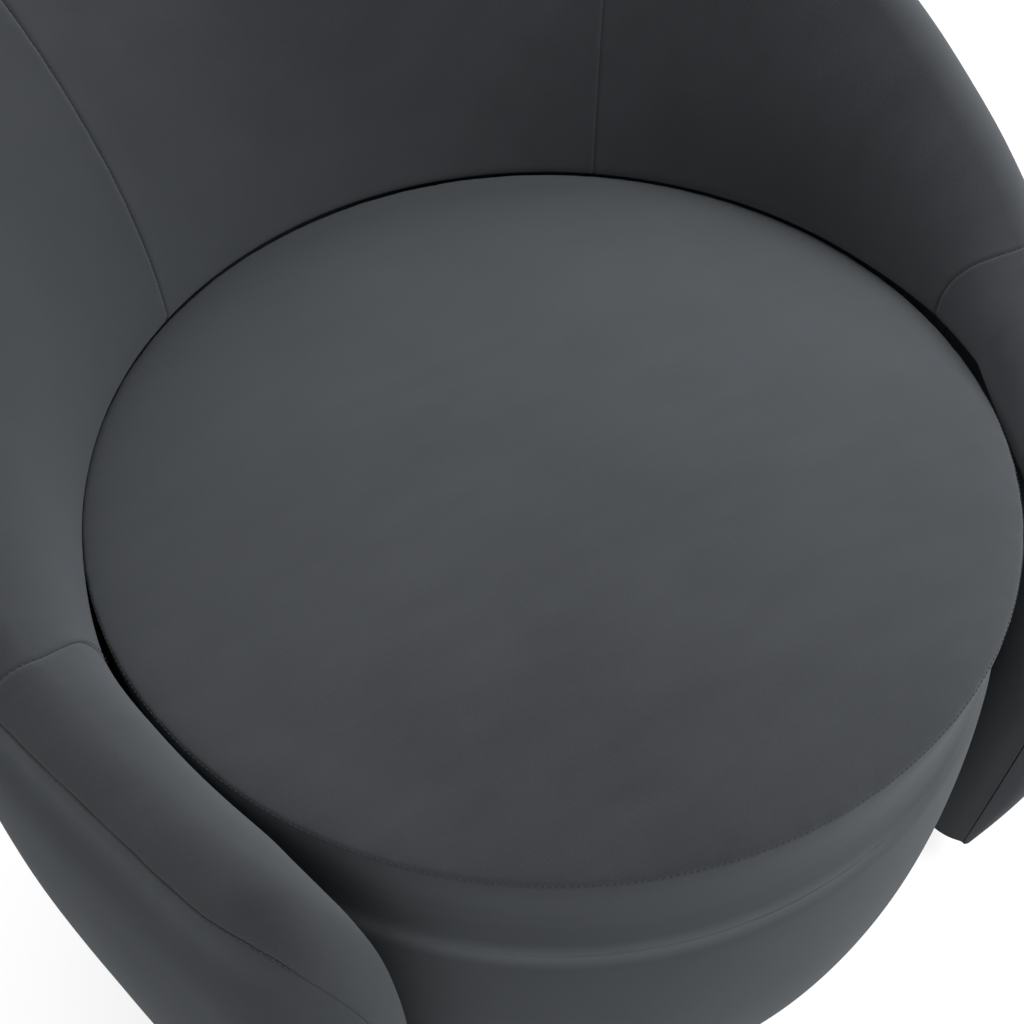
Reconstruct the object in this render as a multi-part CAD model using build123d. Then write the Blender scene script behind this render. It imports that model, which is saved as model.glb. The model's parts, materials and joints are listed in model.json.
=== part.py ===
from build123d import *

import math
import os

# Swivel barrel chair, in millimetres. The origin is on the floor under the swivel axis, +Z is up,
# and the sitter faces -Y, so the sitter's left is +X. Angles around the chair start at the front
# and grow towards the sitter's left.

# Cloth and running clearances
cloth = 1.8
soft_gap = 0.3
seat_clearance = 0.2
seam_gap = 0.6
running_clearance = 0.06
axial_clearance = 0.3

# Floor glides and plinth
glide_count = 6
glide_radius = 16.0
glide_height = 10.0
glide_edge = 3.0
glide_spigot_radius = 4.0
glide_spigot_length = 12.0
glide_circle = 190.0
plinth_radius = 225.0
plinth_thickness = 21.0
plinth_bore = 60.0
plinth_edge = 3.0

# Ball-bearing swivel
plate_thickness = 3.0
lower_plate_radius = 145.0
upper_plate_side = 300.0
upper_plate_corner = 20.0
plate_gap = 5.0
race_radius = 95.0
ball_radius = 4.0
ball_count = 12
cage_thickness = 3.0
cage_width = 16.0
hub_radius = 25.0
hub_wall = 4.0
hub_flange_radius = 38.0
hub_flange_thickness = 4.0
hub_drop = 8.0
washer_radius = 36.0
washer_thickness = 2.5
circlip_radius = 29.0
circlip_thickness = 2.0
circlip_groove = 1.5
circlip_opening = 30.0

# Screws and bolts of the swivel
lower_screw_count = 8
lower_screw_circle = 125.0
lower_screw_radius = 2.4
lower_screw_head = 4.8
lower_screw_length = 18.0
plate_bolt_inset = 25.0
plate_bolt_radius = 4.0
plate_bolt_head = 6.5
plate_bolt_head_height = 5.0
plate_bolt_length = 22.0
tee_nut_barrel = 5.0
tee_nut_depth = 9.0
tee_nut_flange = 10.0
tee_nut_thickness = 1.5

# Drum frame under the seat
panel_radius = 280.0
panel_thickness = 15.0
panel_bore = 60.0
drum_wall_thickness = 3.0
crease_height = 318.0
seat_ring_thickness = 18.0
seat_ring_bore = 225.0
post_angles = (0, 40, 75, 110, 145, 180, 215, 250, 285, 320)
post_width = 30.0
post_depth = 40.0

# Seat webbing and cushion
strap_width = 60.0
strap_thickness = 2.5
strap_pitch = 72.0
strap_count = 4
strap_end_radius = 262.0
felt_thickness = 4.0
felt_radius = 276.0
seam_height = 400.0
seat_radius = 300.0
seat_crown = 25.0
wadding_thickness = 10.0
boxing_bulge_radius = 303.5
boxing_foot_radius = 301.0

# Upholstered drum
drum_cover_reach = 95.0
drum_bulge_radius = 316.0
drum_bulge_height = 165.0
drum_foot_radius = 296.0
drum_flap = 36.0

# Wrap-around shell: crest line seen from the side
back_height = 700.0
side_height = 497.0
arm_height = 429.0
arm_height_angle = 57.0
side_rise = 205.0

# Wrap-around shell: radii
shell_gap = 2.0
back_lip_radius = 301.0
lip_height = 409.0
lip_depth = 17.0
arm_crest_radius = 337.0
back_crest_radius = 405.0
flare_start = -0.2
flare_power = 1.3
arm_roll = 23.0
back_roll = 30.0
foot_depth = 54.0
side_bulge_depth = 73.0
back_bulge_depth = 99.0
lip_blend_start = 88.0
lip_blend_end = 60.0
inner_sag = 2.0

# Wrap-around shell: rounded arm ends
arm_end_angle = 44.0
nose_round_angle = 50.5
nose_drop = 180.0
nose_radius = 347.0
nose_blunt = 0.97
nose_gap = 2.0

# Shell seams, padding and frame
back_seam_angle = 143.0
arm_seam_angle = 84.0
tuck_height = 322.0
shell_pad = 14.0
outer_pad = 8.0
crest_pad = 8.0
board_thickness = 2.5
top_rail_thickness = 12.0
bottom_rail_thickness = 15.0
frame_start_angle = 55.0
rib_angles = (75, 92.5, 110, 127.5, 145, 162.5)
arm_post_angle = 57.0
rib_thickness = 18.0
core_bend_height = 345.0
core_bend_room = 60.0
outer_flap = 28.0

# Sections through each stretch of the shell
nose_section_count = 7
arm_section_count = 4
side_section_count = 5
half_back_section_count = 3

# Blocks and coach screws that tie the shell to the drum
joint_angles = (110, 145, 180, 215, 250)
joint_heights = (100.0, 266.0)
block_width = 40.0
block_height = 60.0
coach_radius = 4.0
coach_head = 6.5
coach_head_height = 5.3
coach_bite = 24.0

# Dust cover
dust_thickness = 0.8
dust_bore = 212.0
dust_margin = 7.0
dust_start_angle = 50.0

# Heights that follow
plinth_top = glide_height + plinth_thickness
lower_plate_top = plinth_top + plate_thickness
upper_plate_bottom = lower_plate_top + plate_gap
frame_bottom = upper_plate_bottom + plate_thickness
flap_bottom = frame_bottom - seat_clearance - cloth
panel_top = frame_bottom + panel_thickness
race_height = lower_plate_top + plate_gap / 2
post_top = crease_height - seat_ring_thickness
drum_wall_radius = panel_radius + seat_clearance + drum_wall_thickness
webbing_top = crease_height + 2 * strap_thickness + soft_gap
felt_top = webbing_top + soft_gap + felt_thickness
shell_inner_radius = drum_bulge_radius + shell_gap
foot_radius = shell_inner_radius + foot_depth
side_bulge_radius = shell_inner_radius + side_bulge_depth
back_bulge_radius = shell_inner_radius + back_bulge_depth
pad_inset = cloth + soft_gap
core_radius = shell_inner_radius + pad_inset + shell_pad
frame_inset = seam_gap + board_thickness + seat_clearance


def polar(radius, angle, height=0.0):
    turn = math.radians(angle)
    return Vector(radius * math.sin(turn), -radius * math.cos(turn), height)


def section_plane(angle):
    """The upright plane through the swivel axis at this angle, with local x as radius and y as height."""
    turn = math.radians(angle)
    outwards = (math.sin(turn), -math.cos(turn), 0)
    across = (-math.cos(turn), -math.sin(turn), 0)
    return Plane(origin=(0, 0, 0), x_dir=outwards, z_dir=across)


def outline(*edges):
    return Wire(list(edges))


def polygon(*points):
    return Wire(Polyline(*points, close=True).edges())


def lofted(angles, section, *sizes):
    wires = [section_plane(angle).location * section(angle, *sizes) for angle in angles]
    return Solid.make_loft(wires)


def turned(wire, start=0.0, arc=360.0):
    face = section_plane(start).location * Face(wire)
    return revolve(face, axis=Axis.Z, revolution_arc=arc)


def disc(radius, bottom, height, bore=0.0):
    body = Pos(0, 0, bottom) * Cylinder(radius, height, align=(Align.CENTER, Align.CENTER, Align.MIN))
    if bore:
        body -= Pos(0, 0, bottom) * Cylinder(bore, height, align=(Align.CENTER, Align.CENTER, Align.MIN))
    return body


def radial_rod(radius, start, length, angle, height):
    """A round bar along the radius at this angle and height."""
    along = polar(1, angle)
    return extrude(Plane(polar(start, angle, height), z_dir=along) * Circle(radius), length)


def around(count, circle, piece, first=0.0):
    """Copies of a piece, evenly spaced on a circle about the swivel axis."""
    places = [polar(circle, first + 360 * i / count) for i in range(count)]
    return [Pos(place) * piece for place in places]


def annular_sector(inner, outer, start, end, bottom, height):
    wire = polygon((inner, bottom), (outer, bottom), (outer, bottom + height), (inner, bottom + height))
    return turned(wire, start, end - start)


def mirrored(shape):
    return mirror(shape, about=Plane.YZ)


def save(name, shape):
    pieces = shape if isinstance(shape, list) else [shape]
    solids = [solid for piece in pieces for solid in piece.solids()]
    export_step(Compound(solids) if len(solids) > 1 else solids[0], f"parts/{name}.step")


# Shell form

def fold(angle):
    """The same place on the sitter's left half."""
    turn = abs(angle) % 360
    return turn if turn <= 180 else 360 - turn


def depth_share(angle):
    """How far back a place on the shell lies, from -1 at the front to 1 at the back."""
    return -math.cos(math.radians(fold(angle)))


def ease(share):
    share = min(max(share, 0.0), 1.0)
    return share * share * (3 - 2 * share)


def flare(angle):
    share = (depth_share(angle) - flare_start) / (1 - flare_start)
    return max(share, 0.0) ** flare_power


def nose_share(angle, start):
    share = (start - fold(angle)) / (start - arm_end_angle)
    return min(max(share, 0.0), nose_blunt)


def nose_taper(angle):
    return math.sqrt(1 - nose_share(angle, nose_round_angle) ** 2)


def narrowed(radius, angle):
    """A radius drawn towards the middle of the arm as the arm's end rounds off."""
    return nose_radius + (radius - nose_radius) * nose_taper(angle)


def crest_height(angle):
    depth = depth_share(angle)
    arm_depth = depth_share(arm_height_angle)
    back_rise = back_height - side_height - side_rise
    arm_rise = (arm_height - side_height - side_rise * arm_depth) / arm_depth**2
    cubic = (arm_rise - back_rise) / (arm_depth - 1)
    line = side_height + side_rise * depth + (back_rise - cubic) * depth**2 + cubic * depth**3
    return line - nose_drop * (1 - math.sqrt(1 - nose_share(angle, arm_height_angle) ** 2))


def crest_radius(angle):
    return narrowed(arm_crest_radius + (back_crest_radius - arm_crest_radius) * flare(angle), angle)


def crest_roll(angle):
    return (arm_roll + (back_roll - arm_roll) * flare(angle)) * nose_taper(angle)


def lip_radius(angle):
    share = ease((lip_blend_start - fold(angle)) / (lip_blend_start - lip_blend_end))
    return narrowed(back_lip_radius + (shell_inner_radius - back_lip_radius) * share, angle)


def bulge_radius(angle):
    return narrowed(side_bulge_radius + (back_bulge_radius - side_bulge_radius) * flare(angle), angle)


def lip_level(angle):
    return min(lip_height, crest_height(angle) - crest_roll(angle) - lip_depth)


def inner_points(angle, inset, bottom):
    """Inner face of the shell from its bottom edge up to the start of the crest roll."""
    roll = crest_roll(angle)
    wall = narrowed(shell_inner_radius, angle) + inset
    level = lip_level(angle)
    top = (crest_radius(angle) - roll + inset, crest_height(angle) - roll)
    return (wall, bottom), (wall, level - lip_depth), (lip_radius(angle) + inset, level), top


def inner_edges(angle, inset, bottom):
    foot, shelf, lip, top = inner_points(angle, inset, bottom)
    run = top[0] - lip[0]
    rise = top[1] - lip[1]
    length = math.hypot(run, rise)
    sag = run / 4 + inner_sag
    middle = ((lip[0] + top[0]) / 2 - sag * rise / length, (lip[1] + top[1]) / 2 + sag * run / length)
    return [Line(foot, shelf), Line(shelf, lip), ThreePointArc(lip, middle, top)]


def crest_points(angle, inset):
    """Start, top and end of the rolled crest, and the points half way along its two arcs."""
    roll = crest_roll(angle)
    radius = crest_radius(angle)
    centre = crest_height(angle) - roll
    reach = roll - inset
    slant = reach * math.sqrt(0.5)
    start = (radius - reach, centre)
    end = (radius + reach, centre)
    return start, (radius - slant, centre + slant), (radius, centre + reach), (radius + slant, centre + slant), end


def crest_edges(angle, inset):
    start, first, top, second, end = crest_points(angle, inset)
    return [ThreePointArc(start, first, top), ThreePointArc(top, second, end)]


def outer_points(angle, inset, bottom):
    """Seam, bulge and foot of the shell's outer face."""
    seam = crest_points(angle, inset)[-1]
    bulge = (bulge_radius(angle) - inset, (seam[1] + bottom) / 2)
    return seam, bulge, (narrowed(foot_radius, angle) - inset, bottom)


def core_points(angle, inset):
    """Inner face of the shell's frame space: bend, inner top corner and outer top corner."""
    roll = crest_roll(angle)
    top = crest_height(angle) - roll - crest_pad
    inner_top = crest_radius(angle) - roll + pad_inset + shell_pad + inset
    outer_top = crest_radius(angle) + roll - pad_inset - outer_pad - inset
    bend = min(core_bend_height, top - core_bend_room)
    return (core_radius + inset, bend), (inner_top, top), (outer_top, top)


def core_radius_at(angle, inset, height):
    """Radius of the frame space's inner face at a height above its bend."""
    bend, top, _ = core_points(angle, inset)
    share = (height - bend[1]) / (top[1] - bend[1])
    return bend[0] + (top[0] - bend[0]) * share


def outer_core_points(angle, inset, bottom):
    """Outer face of the shell's frame space, from its top corner to its foot."""
    depth = pad_inset + outer_pad + inset
    seam, bulge, foot = outer_points(angle, depth, bottom)
    top = core_points(angle, inset)[2]
    return top, bulge, foot


# Shell sections

def inner_cover_section(angle, bottom):
    back = inner_edges(angle, cloth, bottom) + crest_edges(angle, cloth)
    front = inner_edges(angle, 0, bottom) + crest_edges(angle, 0)
    foot = Line(front[0] @ 0, back[0] @ 0)
    seam = Line(front[-1] @ 1, back[-1] @ 1)
    return outline(*front, seam, *back, foot)


def seam_drop(angle):
    """Height of the gap under the crest seam, which opens towards the arm's end as the seam grows steep."""
    share = nose_share(angle, arm_height_angle)
    run = nose_radius * math.radians(arm_height_angle - arm_end_angle)
    slope = nose_drop * share / math.sqrt(1 - share**2) / run
    opening = nose_gap * ease((arm_seam_angle - fold(angle)) / (arm_seam_angle - frame_start_angle))
    return seam_gap * math.hypot(1, slope) + opening


def outer_cover_section(angle):
    seam, bulge, foot = outer_points(angle, 0, flap_bottom)
    inner_seam, inner_bulge, inner_foot = outer_points(angle, cloth, flap_bottom + cloth)
    flap = foot[0] - outer_flap * nose_taper(angle)
    seam = (seam[0], seam[1] - seam_drop(angle))
    inner_seam = (inner_seam[0], inner_seam[1] - seam_drop(angle))
    return outline(
        ThreePointArc(seam, bulge, foot),
        Line(foot, (flap, flap_bottom)),
        Line((flap, flap_bottom), (flap, flap_bottom + cloth)),
        Line((flap, flap_bottom + cloth), inner_foot),
        ThreePointArc(inner_foot, inner_bulge, inner_seam),
        Line(inner_seam, seam),
    )


def inner_foam_section(angle, bottom):
    bend, inner_top, outer_top = core_points(angle, 0)
    face = inner_edges(angle, pad_inset, bottom) + crest_edges(angle, pad_inset)
    foot = (core_radius, bottom)
    return outline(
        *face,
        Line(face[-1] @ 1, outer_top),
        Line(outer_top, inner_top),
        Line(inner_top, bend),
        Line(bend, foot),
        Line(foot, face[0] @ 0),
    )


def outer_foam_section(angle):
    seam, bulge, foot = outer_points(angle, pad_inset, frame_bottom)
    top, core_bulge, core_foot = outer_core_points(angle, 0, frame_bottom)
    seam = (seam[0], seam[1] - seam_drop(angle))
    top = (top[0], top[1] - seam_gap)
    return outline(
        ThreePointArc(seam, bulge, foot),
        Line(foot, core_foot),
        ThreePointArc(core_foot, core_bulge, top),
        Line(top, seam),
    )


def nose_section(angle, inset, bottom):
    seam, bulge, foot = outer_points(angle, inset, bottom)
    edges = inner_edges(angle, inset, bottom) + crest_edges(angle, inset)
    return outline(*edges, ThreePointArc(seam, bulge, foot), Line(foot, edges[0] @ 0))


def inner_board_section(angle):
    bend, top, _ = core_points(angle, seam_gap)
    back_bend, back_top, _ = core_points(angle, seam_gap + board_thickness)
    foot = (bend[0], frame_bottom)
    back_foot = (back_bend[0], frame_bottom)
    level = top[1] - seam_gap
    return polygon(foot, bend, (top[0], level), (back_top[0], level), back_bend, back_foot)


def outer_board_section(angle):
    top, bulge, foot = outer_core_points(angle, seam_gap, frame_bottom)
    back_top, back_bulge, back_foot = outer_core_points(angle, seam_gap + board_thickness, frame_bottom)
    top = (top[0], top[1] - 2 * seam_gap)
    back_top = (back_top[0], top[1])
    return outline(
        ThreePointArc(top, bulge, foot),
        Line(foot, back_foot),
        ThreePointArc(back_foot, back_bulge, back_top),
        Line(back_top, top),
    )


def top_rail_section(angle):
    _, inner, outer = core_points(angle, frame_inset)
    high = inner[1] - seam_gap
    low = high - top_rail_thickness
    inner_high = (core_radius_at(angle, frame_inset, high), high)
    inner_low = (core_radius_at(angle, frame_inset, low), low)
    return polygon(inner_low, (outer[0], low), (outer[0], high), inner_high)


def frame_space_section(angle):
    """The room between the two boards, from their feet up to the top rail."""
    bend, inner, outer = core_points(angle, frame_inset)
    _, bulge, foot = outer_core_points(angle, frame_inset + seam_gap, frame_bottom)
    level = inner[1] - seam_gap - top_rail_thickness - seat_clearance
    inner = (core_radius_at(angle, frame_inset, level), level)
    outer = (outer[0], level)
    corner = (bend[0], frame_bottom)
    return outline(
        Line(corner, bend),
        Line(bend, inner),
        Line(inner, outer),
        ThreePointArc(outer, bulge, foot),
        Line(foot, corner),
    )


def steps(start, end, count):
    return [start + (end - start) * i / count for i in range(count + 1)]


def nose_steps(start, end, count):
    """Angles that crowd towards the arm's end, where its round is tightest."""
    return [end + (start - end) * math.cos(math.pi / 2 * i / count) for i in range(count + 1)]


nose_angles = nose_steps(arm_end_angle, frame_start_angle, nose_section_count)
arm_angles = steps(frame_start_angle, arm_seam_angle, arm_section_count)
side_angles = steps(arm_seam_angle, back_seam_angle, side_section_count)
back_angles = steps(back_seam_angle, 360 - back_seam_angle, 2 * half_back_section_count)
frame_angles = arm_angles + side_angles[1:] + back_angles[1 : half_back_section_count + 1]
soft_turn = math.degrees(soft_gap / nose_radius)
nose_foam_angles = [arm_end_angle + soft_turn, *nose_angles[1:-1], frame_start_angle - soft_turn]


# Floor glides and plinth

def floor_glide():
    foot = Cylinder(glide_radius, glide_height, align=(Align.CENTER, Align.CENTER, Align.MIN))
    foot = chamfer(foot.edges().sort_by(Axis.Z)[0], glide_edge)
    spigot = Cylinder(glide_spigot_radius, glide_spigot_length, align=(Align.CENTER, Align.CENTER, Align.MIN))
    return foot + Pos(0, 0, glide_height) * spigot


def base_plinth():
    board = disc(plinth_radius, glide_height, plinth_thickness, plinth_bore)
    rims = board.edges().filter_by(GeomType.CIRCLE).group_by(SortBy.RADIUS)[-1]
    board = chamfer(rims, plinth_edge)
    socket = disc(glide_spigot_radius, glide_height, glide_spigot_length)
    pilot = disc(lower_screw_radius, lower_plate_top - lower_screw_length, lower_screw_length)
    for hole in around(glide_count, glide_circle, socket):
        board -= hole
    for hole in around(lower_screw_count, lower_screw_circle, pilot):
        board -= hole
    return board


# Ball-bearing swivel

def race_groove():
    groove = Circle(ball_radius + running_clearance)
    return revolve(Plane.XZ * Pos(race_radius, race_height) * groove, axis=Axis.Z)


def countersunk_head():
    wide = lower_screw_head
    narrow = lower_screw_radius
    depth = wide - narrow
    cone = Cone(narrow, wide, depth, align=(Align.CENTER, Align.CENTER, Align.MAX))
    return Pos(0, 0, lower_plate_top) * cone


def lower_screw():
    shank = disc(lower_screw_radius, lower_plate_top - lower_screw_length, lower_screw_length)
    return shank + countersunk_head()


def swivel_lower_plate():
    plate = disc(lower_plate_radius, plinth_top, plate_thickness, hub_radius + running_clearance)
    plate -= race_groove()
    for screw in around(lower_screw_count, lower_screw_circle, lower_screw()):
        plate -= screw
    return plate


def plate_bolt_places():
    reach = upper_plate_side / 2 - plate_bolt_inset
    return [Vector(x * reach, y * reach) for x in (-1, 1) for y in (-1, 1)]


def swivel_upper_plate():
    outline_face = RectangleRounded(upper_plate_side, upper_plate_side, upper_plate_corner)
    plate = Pos(0, 0, upper_plate_bottom) * extrude(outline_face, plate_thickness)
    plate -= disc(hub_radius, upper_plate_bottom, plate_thickness)
    for place in plate_bolt_places():
        plate -= Pos(place) * disc(plate_bolt_radius, upper_plate_bottom, plate_thickness)
    return plate - race_groove()


def ball_cage():
    ring = disc(
        race_radius + cage_width / 2,
        race_height - cage_thickness / 2,
        cage_thickness,
        race_radius - cage_width / 2,
    )
    pocket = disc(ball_radius + running_clearance, race_height - cage_thickness / 2, cage_thickness)
    for hole in around(ball_count, race_radius, pocket):
        ring -= hole
    return ring


def bearing_balls():
    return around(ball_count, race_radius, Pos(0, 0, race_height) * Sphere(ball_radius))


def circlip_level():
    return plinth_top - axial_clearance - washer_thickness


def swivel_hub():
    low = circlip_level() - hub_drop
    bore = hub_radius - hub_wall
    tube = disc(hub_radius, low, frame_bottom - low, bore)
    tube += disc(hub_flange_radius, frame_bottom, hub_flange_thickness, bore)
    groove = disc(hub_radius, circlip_level() - circlip_thickness, circlip_thickness, hub_radius - circlip_groove)
    return tube - groove


def hub_washer():
    return disc(washer_radius, circlip_level(), washer_thickness, hub_radius + running_clearance)


def hub_circlip():
    inner = hub_radius - circlip_groove
    start = circlip_opening / 2
    return annular_sector(
        inner, circlip_radius, start, 360 - start, circlip_level() - circlip_thickness, circlip_thickness
    )


def hexagon(radius):
    return RegularPolygon(radius, 6, major_radius=False)


def plate_bolt():
    head = extrude(hexagon(plate_bolt_head), plate_bolt_head_height)
    shank = disc(plate_bolt_radius, upper_plate_bottom, plate_bolt_length)
    return Pos(0, 0, upper_plate_bottom - plate_bolt_head_height) * head + shank


def tee_nut():
    barrel = disc(tee_nut_barrel, panel_top - tee_nut_depth, tee_nut_depth, plate_bolt_radius)
    return barrel + disc(tee_nut_flange, panel_top, tee_nut_thickness, plate_bolt_radius)


# Drum frame

def bottom_panel():
    panel = disc(panel_radius, frame_bottom, panel_thickness, panel_bore)
    for place in plate_bolt_places():
        panel -= Pos(place) * disc(plate_bolt_radius, frame_bottom, panel_thickness)
        panel -= Pos(place) * disc(tee_nut_barrel, panel_top - tee_nut_depth, tee_nut_depth)
    return panel


def coach_screw_start():
    return post_face() - post_depth


def post_face():
    return math.sqrt(panel_radius**2 - (post_width / 2) ** 2)


def coach_screw_length():
    return core_radius + frame_inset + coach_bite - coach_screw_start()


def coach_shanks(angle):
    start = coach_screw_start()
    length = coach_screw_length()
    return [radial_rod(coach_radius, start, length, angle, height) for height in joint_heights]


def drum_post(angle):
    middle = post_face() - post_depth / 2
    post = Box(post_width, post_depth, post_top - panel_top, align=(Align.CENTER, Align.CENTER, Align.MIN))
    post = Pos(polar(middle, angle, panel_top)) * Rot(0, 0, angle) * post
    if angle in joint_angles:
        for shank in coach_shanks(angle):
            post -= shank
    return post


def seat_ring():
    return disc(panel_radius, post_top, seat_ring_thickness, seat_ring_bore)


def drum_wall():
    inner = panel_radius + seat_clearance
    wall = disc(drum_wall_radius, frame_bottom, crease_height - frame_bottom, inner)
    for angle in joint_angles:
        for shank in coach_shanks(angle):
            wall -= shank
    return wall


def drum_arc(inset, bottom):
    top = (boxing_foot_radius - inset, crease_height - soft_gap)
    bulge = (drum_bulge_radius - inset, drum_bulge_height)
    return ThreePointArc(top, bulge, (drum_foot_radius - inset, bottom))


def drum_foam():
    face = drum_arc(pad_inset, frame_bottom)
    back = drum_wall_radius + soft_gap
    top = (back, crease_height - soft_gap)
    foot = (back, frame_bottom)
    wire = outline(face, Line(face @ 1, foot), Line(foot, top), Line(top, face @ 0))
    return turned(wire, -drum_cover_reach, 2 * drum_cover_reach)


def drum_cover():
    face = drum_arc(0, flap_bottom)
    back = drum_arc(cloth, flap_bottom + cloth)
    flap = drum_foot_radius - drum_flap
    low = (flap, flap_bottom)
    high = (flap, flap_bottom + cloth)
    wire = outline(
        face, Line(face @ 1, low), Line(low, high), Line(high, back @ 1), back, Line(back @ 0, face @ 0)
    )
    return turned(wire, -drum_cover_reach, 2 * drum_cover_reach)


# Seat webbing and cushion

def straps(level):
    """Webbing straps side by side, each as long as the ring is wide under it."""
    pieces = []
    for i in range(strap_count):
        offset = (i - (strap_count - 1) / 2) * strap_pitch
        outer_edge = abs(offset) + strap_width / 2
        half = math.sqrt(strap_end_radius**2 - outer_edge**2)
        strap = Box(strap_width, 2 * half, strap_thickness, align=(Align.CENTER, Align.CENTER, Align.MIN))
        pieces.append(Pos(offset, 0, level) * strap)
    return pieces


def lengthwise_webbing():
    return straps(crease_height)


def crosswise_webbing():
    level = crease_height + strap_thickness + soft_gap
    return [Rot(0, 0, 90) * strap for strap in straps(level)]


def crown_height(radius, drop):
    """Height of the crowned seat at a radius, this far below its face."""
    sphere = (seat_radius**2 + seat_crown**2) / (2 * seat_crown)
    centre = seam_height + seat_crown - sphere
    return centre + math.sqrt((sphere - drop) ** 2 - radius**2)


def crown_arc(radius, drop):
    points = [(share * radius, crown_height(share * radius, drop)) for share in (0, 0.5, 1)]
    return ThreePointArc(*points)


def crowned(radius, upper, lower):
    """A dished disc between two depths below the seat's face."""
    face = crown_arc(radius, upper)
    back = crown_arc(radius, lower)
    return turned(outline(face, Line(face @ 1, back @ 1), back, Line(back @ 0, face @ 0)))


def seat_top_cover():
    return crowned(seat_radius, 0, cloth)


def seat_wadding():
    return crowned(seat_radius - pad_inset, pad_inset, pad_inset + wadding_thickness)


def boxing_arc(inset, top):
    start = (seat_radius - inset, top)
    bulge = (boxing_bulge_radius - inset, (top + crease_height) / 2)
    return ThreePointArc(start, bulge, (boxing_foot_radius - inset, crease_height))


def seat_boxing_cover():
    top = seam_height - cloth - soft_gap
    face = boxing_arc(0, top)
    back = boxing_arc(cloth, top)
    return turned(outline(face, Line(face @ 1, back @ 1), back, Line(back @ 0, face @ 0)))


def seat_foam():
    rim = seat_radius - pad_inset
    bottom = felt_top + soft_gap
    top = crown_arc(rim, pad_inset + wadding_thickness + soft_gap)
    foot = (boxing_foot_radius - pad_inset, bottom)
    bulge = (boxing_bulge_radius - pad_inset, ((top @ 1).Y + bottom) / 2)
    side = ThreePointArc(top @ 1, bulge, foot)
    return turned(outline(top, side, Line(foot, (0, bottom)), Line((0, bottom), top @ 0)))


def spring_felt():
    return disc(felt_radius, webbing_top + soft_gap, felt_thickness)


# Shell frame

def bottom_rail():
    inner = core_radius + frame_inset
    outer = foot_radius - pad_inset - outer_pad - frame_inset
    return annular_sector(
        inner, outer, frame_start_angle, 360 - frame_start_angle, frame_bottom, bottom_rail_thickness
    )


def rib(space, angle):
    """A shaped board that fills the frame space at this angle."""
    reach = back_crest_radius
    slab = Box(rib_thickness, reach, back_height, align=(Align.CENTER, Align.CENTER, Align.MIN))
    foot = frame_bottom + bottom_rail_thickness
    board = space & (Pos(polar(reach, angle, foot)) * Rot(0, 0, angle) * slab)
    if angle in joint_angles:
        for shank in coach_shanks(angle):
            board -= shank
    return board


def inner_board():
    board = lofted(frame_angles, inner_board_section)
    for angle in joint_angles:
        for shank in coach_shanks(angle):
            board -= shank
    return board


def joining_block(angle, height):
    inner = drum_wall_radius
    outer = core_radius + seam_gap - soft_gap
    ring = disc(outer, height - block_height / 2, block_height, inner)
    middle = polar((inner + outer) / 2, angle, height)
    slab = Pos(middle) * Rot(0, 0, angle) * Box(block_width, 2 * (outer - inner), block_height)
    return (ring & slab) - radial_rod(coach_radius, inner - block_width, outer, angle, height)


def coach_screw(angle, height):
    start = coach_screw_start()
    along = polar(1, angle)
    seat = Plane(polar(start, angle, height), x_dir=(0, 0, 1), z_dir=along)
    head = extrude(seat * hexagon(coach_head), -coach_head_height)
    return head + radial_rod(coach_radius, start, coach_screw_length(), angle, height)


# Shell upholstery

def arm_cover():
    nose = lofted(nose_angles, inner_cover_section, flap_bottom)
    strip = lofted(arm_angles, inner_cover_section, flap_bottom)
    end = section_plane(arm_end_angle).location * Face(nose_section(arm_end_angle, 0, flap_bottom))
    cap = extrude(end, cloth, dir=polar(1, arm_end_angle - 90))
    return nose + strip + cap


def outer_cover():
    return lofted(nose_angles, outer_cover_section) + lofted(frame_angles, outer_cover_section)


def dust_cover():
    level = flap_bottom - seat_clearance - dust_thickness
    sheet = disc(drum_foot_radius - dust_margin, level, dust_thickness, dust_bore)
    return sheet + annular_sector(
        drum_foot_radius - 2 * dust_margin,
        foot_radius - dust_margin,
        dust_start_angle,
        360 - dust_start_angle,
        level,
        dust_thickness,
    )


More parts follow.
